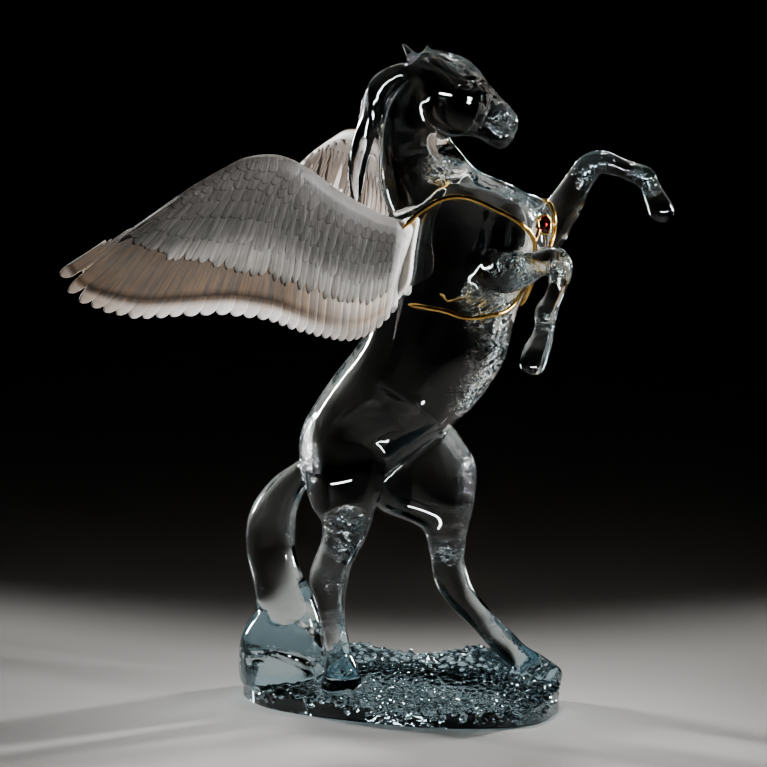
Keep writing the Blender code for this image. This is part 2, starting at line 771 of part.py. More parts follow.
def build_brooch(gold, stone, horse_tree, routes, clearances):
    frame = brooch_frame(horse_tree)
    mesh = bmesh.new()
    add_gem(mesh, frame)
    new_object("brooch_gem", mesh, stone)
    mesh = bmesh.new()
    add_setting(mesh, frame)
    setting = new_object("brooch_setting", mesh, gold)
    for side, route in routes:
        # A short link over the chest, from the setting's wall to the nearest point of the strap.
        target = min(route, key=lambda point: (point - frame.translation).length)
        across = frame.inverted() @ target
        reach = setting_sizes()[1][0] / 2 * math.cos(math.pi / 8) - BEZEL_WALL * 0.4
        start = Vector((math.copysign(reach, across.x), 0, BEZEL_FLOOR + LINK_DIAMETER / 2))
        points = [(frame @ start).lerp(target, t) for t in (0.0, 0.35, 0.7, 1.0)]
        off = LINK_DIAMETER / 2 + 2 * FIT_GAP
        points[1:] = [settle(point, horse_tree, off) for point in points[1:]]
        link = bmesh.new()
        add_tube(link, points, [LINK_DIAMETER / 2] * len(points), 6)
        add_boolean(setting, new_object("brooch_link_" + side, link), "UNION")
    for clearance in clearances:
        add_boolean(setting, clearance, "DIFFERENCE")


def main():
    for item in list(bpy.data.objects):
        bpy.data.objects.remove(item, do_unlink=True)
    crystal = material("clear_crystal", (0.95, 0.98, 0.98), 0.02, transmission=1.0, ior=1.52)
    frosted = material("frosted_crystal", (0.80, 0.78, 0.74), 0.45, transmission=0.3, ior=1.52)
    gold = material("polished_gold", (0.83, 0.58, 0.26), 0.12, metallic=1.0)
    ruby = material("red_stone", (0.45, 0.01, 0.02), 0.03, transmission=0.9, ior=1.76)

    horse = build_horse(crystal)
    horse_clearance = clearance_of(horse)
    horse_tree = surface_tree(horse)
    routes = []
    strap_clearances = []
    for side_name, side in (("right", Y_NEAR), ("left", Y_FAR)):
        wing = build_wing("wing_" + side_name, side, frosted, horse_clearance)
        wing_clearance = clearance_of(wing)
        strap, route = build_strap("strap_" + side_name, side, gold, horse_tree,
                                   (horse_clearance, wing_clearance))
        routes.append((side_name, route))
        strap_clearances.append(clearance_of(strap))
    build_brooch(gold, ruby, horse_tree, routes, [horse_clearance] + strap_clearances)


main()
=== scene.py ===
# Crystal pegasus figurine: the looks of a rearing winged horse in clear crystal, built over the
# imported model. Metres, X forward, Z up, the horse's right side is -Y, as in the model.

import json
import math
import random

import bmesh
import bpy
import numpy as np
from mathutils import Matrix, Vector, noise
from mathutils.bvhtree import BVHTree

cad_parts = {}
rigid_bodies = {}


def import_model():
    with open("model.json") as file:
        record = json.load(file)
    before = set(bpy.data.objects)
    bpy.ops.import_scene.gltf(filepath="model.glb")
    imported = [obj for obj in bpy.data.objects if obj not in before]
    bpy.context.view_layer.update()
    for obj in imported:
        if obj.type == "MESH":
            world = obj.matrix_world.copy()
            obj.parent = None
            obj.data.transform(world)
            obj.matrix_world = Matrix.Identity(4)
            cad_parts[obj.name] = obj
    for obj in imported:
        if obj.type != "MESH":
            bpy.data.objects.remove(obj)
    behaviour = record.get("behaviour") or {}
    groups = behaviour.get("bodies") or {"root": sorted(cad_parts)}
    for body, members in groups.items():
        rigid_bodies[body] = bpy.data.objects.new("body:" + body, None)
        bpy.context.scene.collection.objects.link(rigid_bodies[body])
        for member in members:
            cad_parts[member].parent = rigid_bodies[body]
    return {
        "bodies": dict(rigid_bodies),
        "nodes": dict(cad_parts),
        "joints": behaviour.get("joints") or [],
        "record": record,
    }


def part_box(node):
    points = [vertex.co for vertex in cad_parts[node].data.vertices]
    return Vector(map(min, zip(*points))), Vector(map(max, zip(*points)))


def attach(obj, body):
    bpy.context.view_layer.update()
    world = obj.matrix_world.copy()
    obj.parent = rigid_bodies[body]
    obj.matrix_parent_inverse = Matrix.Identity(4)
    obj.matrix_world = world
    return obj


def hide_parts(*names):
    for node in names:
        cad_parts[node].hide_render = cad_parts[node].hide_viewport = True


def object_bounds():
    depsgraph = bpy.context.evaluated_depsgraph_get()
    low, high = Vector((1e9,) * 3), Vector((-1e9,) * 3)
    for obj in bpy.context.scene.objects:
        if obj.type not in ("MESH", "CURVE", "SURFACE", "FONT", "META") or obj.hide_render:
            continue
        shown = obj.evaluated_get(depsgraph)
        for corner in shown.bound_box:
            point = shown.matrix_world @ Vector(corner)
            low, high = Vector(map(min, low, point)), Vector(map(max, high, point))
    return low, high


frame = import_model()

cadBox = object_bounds()
print("stage: model loaded, box", [tuple(round(v, 4) for v in corner) for corner in cadBox])

# The figure is drawn in millimetres, as in the part's source, and placed on the base.
figure = {
    "scale": 0.466 / 466.0,   # the horse's real height over its drawn height
    "drawnRim": 16.0,         # height of the base's rim in the drawing
    "baseHeight": 0.016,      # the same rim in metres
    "gap": 0.0003,            # between pieces that meet
    "meetForward": -0.03,     # pieces meet only forward of this x,
    "meetWithin": 0.008,      # and where they are nearer than this
    "margin": 0.0001,         # how far the skins stay inside the model's box
}


def placeDrawn(x, y, z):
    lifted = (z - figure["drawnRim"]) * figure["scale"] + figure["baseHeight"]
    return Vector((x * figure["scale"], y * figure["scale"], lifted))


def smoothStep(low, high, value):
    t = np.clip((np.asarray(value, float) - low) / (high - low), 0.0, 1.0)
    return t * t * (3 - 2 * t)


def smoothRows(rows, steps):
    # A Catmull-Rom curve through rows of numbers, with so many steps in each stretch.
    rows = [np.array(row, float) for row in rows]
    knots = [2 * rows[0] - rows[1]] + rows + [2 * rows[-1] - rows[-2]]
    out = []
    for i in range(1, len(knots) - 2):
        before, start, end, after = knots[i - 1:i + 3]
        slopeIn, slopeOut = (end - before) / 2, (after - start) / 2
        a = 2 * start - 2 * end + slopeIn + slopeOut
        b = -3 * start + 3 * end - 2 * slopeIn - slopeOut
        for step in range(steps):
            t = step / steps
            out.append(((a * t + b) * t + slopeIn) * t + start)
    out.append(rows[-1])
    return out


# Meshes and objects

def makeObject(name, mesh, smooth=True):
    if isinstance(mesh, bmesh.types.BMesh):
        data = bpy.data.meshes.new(name)
        mesh.to_mesh(data)
        mesh.free()
        mesh = data
    mesh.name = name
    if smooth:
        mesh.shade_smooth()
    made = bpy.data.objects.new(name, mesh)
    bpy.context.scene.collection.objects.link(made)
    return made


def evaluatedMesh(source):
    bpy.context.view_layer.update()
    graph = bpy.context.evaluated_depsgraph_get()
    return bpy.data.meshes.new_from_object(source.evaluated_get(graph))


def removeObject(item):
    bpy.data.objects.remove(item, do_unlink=True)


def meshPoints(mesh):
    points = np.zeros(len(mesh.vertices) * 3)
    mesh.vertices.foreach_get("co", points)
    return points.reshape(-1, 3)


def meshNormals(mesh):
    normals = np.zeros(len(mesh.vertices) * 3)
    mesh.vertices.foreach_get("normal", normals)
    return normals.reshape(-1, 3)


def setPoints(mesh, points):
    mesh.vertices.foreach_set("co", np.ascontiguousarray(points, np.float32).ravel())
    mesh.update()


def meshTree(mesh):
    points = [tuple(p) for p in meshPoints(mesh)]
    return BVHTree.FromPolygons(points, [tuple(face.vertices) for face in mesh.polygons])


def keepInside(mesh, box):
    low, high = np.array(box[0]) + figure["margin"], np.array(box[1]) - figure["margin"]
    setPoints(mesh, np.clip(meshPoints(mesh), low, high))


def triangleCount(mesh):
    return sum(len(face.vertices) - 2 for face in mesh.polygons)


def addLoft(mesh, rings):
    # A closed skin over the rings, with its faces looking outwards.
    rows = [[mesh.verts.new(point) for point in ring] for ring in rings]
    faces = [mesh.faces.new(list(reversed(rows[0]))), mesh.faces.new(rows[-1])]
    for lower, upper in zip(rows, rows[1:]):
        for i in range(len(lower)):
            faces.append(mesh.faces.new((lower[i - 1], lower[i], upper[i], upper[i - 1])))
    bmesh.ops.recalc_face_normals(mesh, faces=faces)


def settle(point, tree, distance, pull=False):
    # The point, moved to stand the given distance off the surface; pull brings far points back.
    nearest, normal, index, away = tree.find_nearest(point)
    inside = (point - nearest).dot(normal) < 0
    if inside or away < distance or pull:
        return nearest + normal * distance
    return point


# Colours and material nodes

def fromHex(text):
    # An sRGB hex colour as linear values.
    parts = [int(text[i:i + 2], 16) / 255 for i in (1, 3, 5)]
    return tuple(p / 12.92 if p <= 0.04045 else ((p + 0.055) / 1.055) ** 2.4 for p in parts) + (1.0,)


def addNode(tree, kind, settings=None, inputs=None, links=None):
    # A node with its settings, its input values, and links into it from (node, output) pairs.
    node = tree.nodes.new(kind)
    for key, value in (settings or {}).items():
        setattr(node, key, value)
    for key, value in (inputs or {}).items():
        node.inputs[key].default_value = value
    for key, (source, output) in (links or {}).items():
        tree.links.new(source.outputs[output], node.inputs[key])
    return node


def newMaterial(name, values):
    made = bpy.data.materials.new(name)
    made.use_nodes = True
    tree = made.node_tree
    tree.nodes.clear()
    shader = addNode(tree, "ShaderNodeBsdfPrincipled", inputs=values)
    addNode(tree, "ShaderNodeOutputMaterial", links={"Surface": (shader, "BSDF")})
    return made, tree, shader


def colourRamp(tree, value, stops):
    ramp = addNode(tree, "ShaderNodeValToRGB", links={"Fac": value})
    marks = ramp.color_ramp.elements
    marks[0].position, marks[1].position = stops[0][0], stops[-1][0]
    marks[0].color, marks[1].color = fromHex(stops[0][1]), fromHex(stops[-1][1])
    for position, colour in stops[1:-1]:
        marks.new(position).color = fromHex(colour)
    return ramp


def mixColours(tree, blend, factor, first, second):
    mix = addNode(tree, "ShaderNodeMix", {"data_type": "RGBA", "blend_type": blend})
    for socket, value in ((0, factor), (6, first), (7, second)):
        if isinstance(value, (int, float)):
            mix.inputs[socket].default_value = value
        elif isinstance(value, str):
            mix.inputs[socket].default_value = fromHex(value)
        else:
            tree.links.new(value[0].outputs[value[1]], mix.inputs[socket])
    return mix, 2


def finishPiece(piece, node):
    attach(piece, "root")
    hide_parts(node)
    print("piece:", piece.name, triangleCount(piece.data), "triangles")


# Stage

stageSettings = {
    "floorReach": 14.0,
    "floorColour": "#D9D6D1",
    "surround": "#15181C",
    "surroundStrength": 0.03,
}

cameraSettings = {
    "azimuth": 20.0,
    "elevation": 9.0,
    "distance": 2.4,
    "aim": (-0.01134, -0.00413, 0.2365),
    "lens": 156.45,
    "sensor": 36.0,
    "clip": (0.05, 60.0),
}

# Soft boxes: where each aims, its azimuth, elevation and distance from there, its width, height
# and power, and the angle that its grid holds the light to.
lightSpots = {
    "middle": cameraSettings["aim"],
    "chest": (0.02, 0.0, 0.33),
    "near wing": (-0.06, -0.08, 0.34),
    "head": (0.05, 0.0, 0.42),
}
softBoxes = {
    "left": ("chest", -102, 8, 1.3, 0.08, 0.6, 2.3, 25),
    "right": ("chest", 142, 8, 1.3, 0.08, 0.6, 2.4, 25),
    "back": ("middle", 200, 4, 1.5, 1.3, 0.03, 0.8, 20),
    "wing": ("near wing", 85, 12, 1.2, 0.3, 0.4, 1.35, 16),
    "rim": ("head", 200, 66, 1.3, 0.5, 0.05, 0.30, 18),
}


def standFacing(item, aim, azimuth, elevation, distance):
    # Stands a camera or lamp off the point that it faces.
    a, e = math.radians(azimuth), math.radians(elevation)
    back = Vector((math.sin(a) * math.cos(e), -math.cos(a) * math.cos(e), math.sin(e)))
    item.location = Vector(aim) + back * distance
    item.rotation_mode = "QUATERNION"
    item.rotation_quaternion = back.to_track_quat("Z", "Y")
    bpy.context.scene.collection.objects.link(item)


def buildStage():
    mesh = bmesh.new()
    bmesh.ops.create_circle(mesh, cap_ends=True, segments=96, radius=stageSettings["floorReach"])
    floor = makeObject("studio_floor", mesh)
    paper = newMaterial("matte seamless paper", {
        "Base Color": fromHex(stageSettings["floorColour"]),
        "Roughness": 0.75,
    })[0]
    floor.data.materials.append(paper)
    world = bpy.data.worlds.new("studio surround")
    world.use_nodes = True
    background = world.node_tree.nodes["Background"]
    background.inputs["Color"].default_value = fromHex(stageSettings["surround"])
    background.inputs["Strength"].default_value = stageSettings["surroundStrength"]
    bpy.context.scene.world = world
    for name, (spot, azimuth, elevation, distance, width, height, power, grid) in softBoxes.items():
        data = bpy.data.lights.new("soft_box_" + name, "AREA")
        data.shape = "RECTANGLE"
        data.size = width
        data.size_y = height
        data.energy = power
        data.spread = math.radians(grid)
        lamp = bpy.data.objects.new("soft_box_" + name, data)
        lamp.visible_camera = False
        standFacing(lamp, lightSpots[spot], azimuth, elevation, distance)
    print("stage: floor and", len(softBoxes), "soft boxes set")


def buildCamera():
    data = bpy.data.cameras.new("photo_camera")
    data.lens = cameraSettings["lens"]
    data.sensor_width = cameraSettings["sensor"]
    data.clip_start, data.clip_end = cameraSettings["clip"]
    camera = bpy.data.objects.new("photo_camera", data)
    standFacing(camera, *(cameraSettings[key] for key in ("aim", "azimuth", "elevation", "distance")))
    bpy.context.scene.camera = camera


# The horse and its base, one piece of clear crystal. The stations of the torso, head and far
# thigh are (rear x, rear z, front x, front z, half width), and those of the other limbs, tail,
# mane and ears are (x, y, z, half depth, half width). All are in drawn millimetres.

horse = {
    "voxel": 0.0011,
    "triangles": 194000,      # the fused skin is thinned out to this many
    "sides": 48,
    "steps": 8,
    "softRounds": 36,         # rounds of softening, like a fire polish
    "crushFade": (0.0045, 0.012),  # heights over the base's top where its crushed skin ends
    "earTips": (473, 480),    # drawn heights between which the softening lets go,
    "earTipsSoft": 0.25,      # down to this share
    "rippleBend": (0.6, 1.1),  # how finely the ripples wander, and how far, in their own grain
    "rippleSeed": 5,
    "headTurn": 12.0,         # degrees towards the right side, from the poll on
    "pollX": 12.0,
    "farThighY": 27.0,
    "caps": {                 # how far each form is rounded past its first and last station
        "torso": (14, 8), "head": (6, 7), "farThigh": (6, 3), "nearHind": (12, 4),
        "farHind": (12, 8), "nearFore": (12, 5), "farFore": (12, 3), "hoof": (3, 3),
        "tail": (4, 4), "mane": (4, 2), "ears": (3, 1),
    },
    # Locks of the tail and the mane: how many, how deep, and their twist for each millimetre.
    "locks": {"tail": (3, 0.35, 0.012), "mane": (4, 0.35, 0.02)},
    "torso": [
        (-60, 152, -46, 144, 22), (-73, 170, -24, 158, 33), (-76, 190, 4, 181, 38),
        (-70, 209, 28, 199, 41), (-58, 229, 44, 211, 41), (-44, 248, 57, 225, 41),
        (-32, 263, 67, 239, 42), (-23, 281, 77, 256, 43), (-18.5, 299, 83, 277, 43),
        (-15.5, 318, 89, 298, 42), (-12.5, 335, 98, 319, 41), (-8, 351, 108, 337, 40),
        (-9, 363, 103, 366, 37), (-13, 373, 86, 380, 33), (-15, 383, 66, 387, 28),
        (-16, 395, 54, 393, 24), (-16, 409, 45, 404, 20), (-14, 423, 37, 413, 17.5),
        (-11, 435, 35, 422, 16.5), (-5, 448, 34, 431, 15.5), (3, 459, 30, 441, 14),
    ],
    "head": [
        (5, 468, 8, 452, 9), (17, 475, 14, 442, 12.5), (30, 477, 22, 428, 15.5),
        (41, 475, 30, 418.5, 17), (51.5, 471, 39, 415.5, 16.5), (61, 464, 48, 416, 14),
        (69, 455.5, 56, 416.5, 12), (77, 447.5, 63.5, 415.5, 10.5), (84, 441, 71, 411, 10.5),
        (90, 435, 79, 408.5, 10.5),
    ],
    "nearHind": [
        (-36, -20, 205, 27, 17), (-32.5, -25, 188, 30, 19), (-32.5, -27, 168, 29.5, 19.5),
        (-32, -28, 153, 26, 18), (-31, -29, 142, 20.5, 15), (-32, -30, 131, 16.5, 12.5),
        (-35.5, -30, 120, 14.5, 11), (-40.5, -30, 109, 14, 10.5), (-44, -30, 97, 15, 10.5),
        (-44, -30, 86, 13.5, 9.5), (-42.5, -30, 75.5, 11.2, 9), (-41, -30, 64.5, 9.4, 8.5),
        (-38.5, -30, 51, 9.4, 9), (-36, -30, 40, 9.8, 9.6), (-34.5, -30, 28, 13.5, 13),
        (-34, -30, 13, 15, 15),
    ],
    "farThigh": [
        (-50, 190, 25, 208, 17), (-42, 164, 41, 191, 19), (-27, 139, 48, 173, 19.5),
        (-7, 131.5, 47.5, 156, 18), (6, 127, 45.5, 142, 15.5), (11.5, 118, 42.5, 127, 12.5),
        (13, 108, 39.5, 112, 10.5),
    ],
    "farHind": [
        (26, 30, 118, 14, 11), (26, 30, 103, 12.6, 10.3), (29, 30, 90, 13.6, 10.3),
        (37, 30, 76, 11.6, 9.3), (48, 30, 65, 10.2, 8.8), (59, 30, 54, 9.6, 8.5),
        (69, 30, 45, 10.4, 9.6), (80, 30, 36, 9.4, 9.2), (92, 30, 27.5, 11.5, 12.2),
        (105, 29, 19, 12, 13.5),
    ],
    "nearFore": [
        (72, -26, 334, 21, 13), (87, -33, 325, 15.5, 12), (101, -36, 326.5, 12.2, 11),
        (114, -36, 332, 9.8, 9), (126, -36, 336.5, 9.2, 8.8), (131.5, -36, 329, 8.4, 8.2),
        (128.5, -36, 316, 7.0, 7.0), (124, -36, 305, 7.2, 7.0), (120.5, -36, 298, 8.8, 8.2),
        (119.5, -36, 288, 6.9, 7.2), (117.5, -36, 279, 8.4, 8.6), (113.5, -36, 269, 10.0, 10.2),
        (110, -36, 259, 9.5, 10.5),
    ],
    "farFore": [
        (74, 26, 330, 23, 13), (90, 33, 340, 18, 12), (103, 36, 352, 14.4, 11),
        (115, 36, 371, 12.2, 10), (123, 36, 385, 10.2, 9), (131, 36, 395, 9.3, 8.8),
        (141, 36, 397.5, 8.2, 8.0), (151, 36, 394.5, 7.2, 7.2), (161, 36, 391, 7.2, 7.2),
        (170, 36, 388, 8.0, 8.0), (175, 36, 380, 6.8, 7.2), (178.5, 36, 372.5, 8.6, 8.8),
        (182.5, 36, 363.5, 9.4, 10.2),
    ],
    "tail": [
        (-66, 0, 172, 9, 10), (-77, 0, 165, 10, 11), (-90, 0, 151, 14, 13),
        (-100, 0, 130, 18, 15.5), (-101, 0, 108, 18.5, 15.5), (-97, -2, 93, 18, 16),
        (-91, -5, 78, 20.5, 17), (-86.5, -8, 66, 24, 19.5), (-86, -10, 54, 29, 22),
        (-87.5, -10, 40, 32.5, 27), (-89, -8, 26, 32.5, 34), (-90, -6, 12, 30.5, 38),
    ],
    "mane": [
        (10, 0, 461, 8, 9), (-4, -1, 457.5, 8, 10), (-14, -2, 450, 9, 10.5),
        (-18.5, -3, 440, 8.8, 10.5), (-20.5, -3, 430, 8.0, 10), (-24.5, -3, 418, 7.6, 9.5),
        (-29, -3, 405, 7.6, 9), (-31.5, -3, 392, 7.4, 8), (-32.5, -3, 379, 5.8, 6.5),
        (-32.5, -3, 369, 3.6, 4.5), (-32, -3, 362, 1.6, 2),
    ],
    "ears": [
        [(13, -7, 467, 6, 5), (9.5, -8, 474, 4, 3.4), (4, -8, 481.5, 1.3, 1.3)],
        [(19, 5, 470, 6, 5), (19, 5, 475, 4, 3.4), (18, 5, 479.5, 1.4, 1.4)],
    ],
    "hoof": [(177, 36, 372.5, 7.5, 8.5), (182.5, 36, 365, 9.5, 10.5), (188, 36, 361, 6.8, 9.5)],
    # Muscles and bone: centre x, y, z, half sizes x, y, z, and the tilt about Y in degrees.
    "muscles": [
        (58, -24, 336, 31, 16, 38, 18), (58, 24, 336, 31, 16, 38, 18),
        (88, -17, 347, 18, 21, 28, 14), (88, 17, 347, 18, 21, 28, 14),
        (-34, -21, 196, 27, 17, 34, 28), (-26, 21, 196, 28, 17, 34, 28),
        (42, -14, 443, 23, 7, 24, 0), (42, 2, 443, 23, 7, 24, 0),
    ],
}

# The strokes of the carver's tool: a line of (x, z) points on the side that y points to,
# how far the surface rises (or sinks, below zero) and half the stroke's width, in millimetres.
strokes = [
    ("brow", (-1, 1), [(49, 458.5), (54, 459.6), (59, 457.6), (63, 454), (67, 449.8)], 1.3, 2.2),
    ("eye", (-1, 1), [(54, 453.6), (56, 454.2), (58, 453.4)], 1.6, 2.4),
    ("under the eye", (-1, 1), [(51, 451.4), (55, 449.8), (60, 449.4)], -1.0, 1.8),
    ("cheek bone", (-1, 1), [(60, 448), (65, 444.5), (70, 440)], 1.1, 2.6),
    ("muzzle crease", (-1, 1), [(71.5, 446), (73, 442), (72.5, 436), (70, 430), (66, 424.5)], -1.6, 2.2),
    ("muzzle fold", (-1, 1), [(76, 442), (77.5, 437), (76, 431.5)], 1.1, 2.2),
    ("nostril", (-1, 1), [(86.6, 429.6), (88.6, 431.4)], -2.8, 2.6),
    ("nostril rim", (-1, 1), [(84, 427), (83.4, 431), (86, 434.6)], 1.3, 1.8),
    ("mouth", (-1, 1), [(74, 427.5), (79, 424.6), (83.5, 422), (88, 420), (92, 418.6)], -1.8, 1.7),
    ("lower lip", (-1, 1), [(75, 417), (80, 415.4), (84, 414.6)], 1.1, 2.2),
    ("jowl", (-1, 1), [(24, 436), (26, 428), (31, 421.5), (38, 417.5), (45, 417)], -0.8, 2.4),
    ("forelock one", (-1,), [(20, 474), (33, 473.4), (44, 469), (53, 464.4), (62, 458.6)], 1.5, 2.0),
    ("forelock two", (-1,), [(22, 470), (32, 469.6), (41, 466), (49, 462.6)], 1.2, 1.8),
    ("forelock far", (1,), [(24, 473), (36, 471.4), (47, 467), (57, 461)], 1.4, 2.2),
    ("neck crest", (-1, 1), [(5, 452), (-4, 440), (-9, 427), (-12, 412), (-13, 396)], -1.0, 3.0),
    ("shoulder blade", (-1, 1), [(30, 384), (41, 386), (52, 383), (60, 380)], 1.0, 4.0),
    ("behind the elbow", (-1, 1), [(66, 316), (58, 306), (48, 300)], -0.9, 4.0),
    ("flank", (-1, 1), [(12, 214), (4, 224), (-8, 232)], -0.8, 5.0),
    ("stifle crease", (-1,), [(-3, 196), (-4, 182), (-5, 168)], -0.8, 3.0),
    ("near fetlock", (-1, 1), [(112, 291), (121, 292), (128, 292)], -0.5, 1.6),
]

# Places where the crystal is rippled by the maker's tools: x, y, z, reach, height and grain, in mm.
ripples = [
    (-26, -40, 130, 26, 1.5, 5.0), (-58, -30, 176, 24, 1.1, 5.5), (-68, -18, 204, 20, 0.9, 5.5),
    (-40, -30, 96, 18, 0.45, 5.0), (-38, -30, 66, 16, 0.35, 5.0), (44, 34, 172, 20, 1.0, 5.5),
    (44, 30, 146, 20, 1.0, 5.5), (30, 30, 112, 20, 0.8, 5.5), (62, 30, 54, 20, 0.35, 5.5),
    (94, -4, 372, 24, 1.2, 5.5), (98, -34, 324, 22, 1.3, 5.0), (74, -24, 300, 26, 1.2, 5.5),
    (128, -36, 330, 14, 0.7, 4.5), (119, -36, 290, 14, 0.5, 4.5), (111, -36, 264, 10, 0.3, 4.5),
    (132, 36, 394, 20, 0.9, 5.0), (170, 36, 386, 18, 0.9, 4.5), (82, -20, 428, 17, 1.2, 4.2),
    (20, -6, 474, 14, 0.9, 4.0), (50, -10, 468, 16, 0.9, 4.2), (76, -14, 264, 26, 1.1, 5.5),
    (58, -14, 236, 24, 1.2, 5.5), (-120, 0, 118, 14, 0.6, 5.5), (-84, 0, 122, 12, 0.5, 5.0),
    (60, 10, 388, 18, 0.9, 5.0), (36, -18, 392, 16, 0.7, 5.0),
]

base = {
    "length": 0.247,
    "width": 0.130,
    "inset": 0.0022,          # the clear wall stands this far inside the chips' reach
    "rise": 0.009,            # how much higher the rough top is at the back
    "moundHeight": 0.010,
    "roundOff": 0.0035,       # how far the top's rim is rounded down
    "chipSpacing": 0.0050,
    "chipSize": (0.0088, 0.0058, 0.0034),
    "chipSeed": 7,
    "skirtDepth": 0.0085,     # how far the chips hang down over the wall, at the most
}


def edgeSections(stations, shift):
    # Cross sections from a rear and a front edge; shift gives each one's y.
    rows = []
    for rearX, rearZ, frontX, frontZ, halfWidth in smoothRows(stations, horse["steps"]):
        middleX, middleZ = (rearX + frontX) / 2, (rearZ + frontZ) / 2
        depthX, depthZ = (frontX - rearX) / 2, (frontZ - rearZ) / 2
        rows.append((middleX, shift(middleX), middleZ, depthX, depthZ, halfWidth))
    return rows


def lineSections(stations):
    # Cross sections square to a middle line.
    rows = smoothRows(stations, horse["steps"])
    out = []
    for i, (x, y, z, halfDepth, halfWidth) in enumerate(rows):
        before, after = rows[max(0, i - 1)], rows[min(len(rows) - 1, i + 1)]
        along = Vector((after[0] - before[0], after[2] - before[2])).normalized()
        out.append((x, y, z, -along.y * halfDepth, along.x * halfDepth, halfWidth))
    return out


def sectionRing(row, scale, offset):
    x, y, z, depthX, depthZ, halfWidth = row
    points = []
    for i in range(horse["sides"]):
        angle = 2 * math.pi * i / horse["sides"]
        across, side = math.cos(angle) * scale, math.sin(angle) * scale
        points.append(placeDrawn(x + offset.x + depthX * across, y + offset.y + halfWidth * side,
                                 z + offset.z + depthZ * across))
    return points


def roundedRings(rows, capStart, capEnd):
    # Rings through the sections, with a round cap at each end.
    centres = [Vector(row[:3]) for row in rows]
    back = (centres[0] - centres[1]).normalized() * capStart
    on = (centres[-1] - centres[-2]).normalized() * capEnd
    shares = (0.985, 0.93, 0.82, 0.66, 0.46, 0.24)
    rings = [sectionRing(rows[0], math.sqrt(1 - s * s), back * s) for s in shares]
    rings += [sectionRing(row, 1.0, Vector()) for row in rows]
    rings += [sectionRing(rows[-1], math.sqrt(1 - s * s), on * s) for s in reversed(shares)]
    return rings


def addHorse(mesh):
    turn = math.tan(math.radians(horse["headTurn"]))
    shifts = {
        "torso": lambda x: 0.0,
        "head": lambda x: -turn * max(0.0, x - horse["pollX"]),
        "farThigh": lambda x: horse["farThighY"],
    }
    for name, shift in shifts.items():
        addLoft(mesh, roundedRings(edgeSections(horse[name], shift), *horse["caps"][name]))
    for name in ("nearHind", "farHind", "nearFore", "farFore", "hoof", "tail", "mane"):
        addLoft(mesh, roundedRings(lineSections(horse[name]), *horse["caps"][name]))
    for ear in horse["ears"]:
        addLoft(mesh, roundedRings(lineSections(ear), *horse["caps"]["ears"]))
    for x, y, z, halfX, halfY, halfZ, tilt in horse["muscles"]:
        turned = Matrix.Translation(placeDrawn(x, y, z)) @ Matrix.Rotation(math.radians(tilt), 4, "Y")
        size = Matrix.Diagonal((*(half * figure["scale"] for half in (halfX, halfY, halfZ)), 1))
        bmesh.ops.create_uvsphere(mesh, u_segments=48, v_segments=28, radius=1.0, matrix=turned @ size)


def baseOutline(angle, inset=0.0):
    # A slightly squared oval with a slow wobble, as a hand-gathered slab has.
    power = 2 / 2.35
    cos, sin = math.cos(angle), math.sin(angle)
    x = math.copysign(abs(cos) ** power, cos) * (base["length"] / 2 - inset)
    y = math.copysign(abs(sin) ** power, sin) * (base["width"] / 2 - inset)
    wobble = 1 - 0.012 * (1 + math.cos(3 * angle + 0.6)) - 0.010 * (1 + math.cos(7 * angle))
    return x * wobble, y * wobble


def baseTop(x, y):
    # The top's height: it rises to the back, with two mounds there.
    width, length = base["width"], base["length"]
    behind = smoothStep(-0.1 * width, 0.42 * width, y)
    rise = base["rise"] * smoothStep(-0.4 * width, 0.4 * width, y)
    mound = base["moundHeight"] * np.exp(-((x - 0.18 * length) / (0.10 * length)) ** 2)
    mound += 0.5 * base["moundHeight"] * np.exp(-((x + 0.2 * length) / (0.08 * length)) ** 2)
    return figure["baseHeight"] + rise + mound * behind


def baseRings(inset, drop):
    # Rings over the top from the middle to the rim, lowered by the drop, and their angles.
    around, radial = 160, 24
    angles = [2 * math.pi * i / around for i in range(around)]
    rings = []
    for step in range(1, radial + 1):
        share = step / radial
        ring = []
        for angle in angles:
            x, y = baseOutline(angle, inset)
            x, y = x * share, y * share
            roundOff = base["roundOff"] * smoothStep(0.93, 1.0, share)
            ring.append(Vector((x, y, float(baseTop(x, y)) - roundOff - drop)))
        rings.append(ring)
    return rings, angles


def addBase(mesh):
    rings, angles = baseRings(base["inset"], 0.0012)
    outline = [baseOutline(angle, base["inset"]) for angle in angles]
    for level in (0.45, -0.25):
        rings.append([Vector((x, y, figure["baseHeight"] * level)) for x, y in outline])
    addLoft(mesh, rings)


def makeTree(name, inputs):
    # A geometry tree with named inputs, and the identifiers that a modifier sets them by.
    tree = bpy.data.node_groups.new(name, "GeometryNodeTree")
    tree.interface.new_socket("Geometry", in_out="INPUT", socket_type="NodeSocketGeometry")
    tree.interface.new_socket("Geometry", in_out="OUTPUT", socket_type="NodeSocketGeometry")
    names = {}
    for label, kind in inputs:
        socket = tree.interface.new_socket(label, in_out="INPUT", socket_type="NodeSocket" + kind)
        names[label] = socket.identifier
    enter = tree.nodes.new("NodeGroupInput")
    return tree, enter, names


def closeTree(tree, enter, last, output):
    # The tree's end: real geometry in its material.
    real = addNode(tree, "GeometryNodeRealizeInstances", links={"Geometry": (last, output)})
    paint = addNode(tree, "GeometryNodeSetMaterial",
                    links={"Geometry": (real, "Geometry"), "Material": (enter, "Material")})
    addNode(tree, "NodeGroupOutput", links={"Geometry": (paint, "Geometry")})


def runTree(source, tree, names, values):
    # The tree's result on the source as a plain mesh, after which the source is removed.
    modifier = source.modifiers.new(tree.name, "NODES")
    modifier.node_group = tree
    for label, value in values.items():
        modifier[names[label]] = value
    mesh = evaluatedMesh(source)
    source.modifiers.remove(modifier)
    removeObject(source)
    return mesh


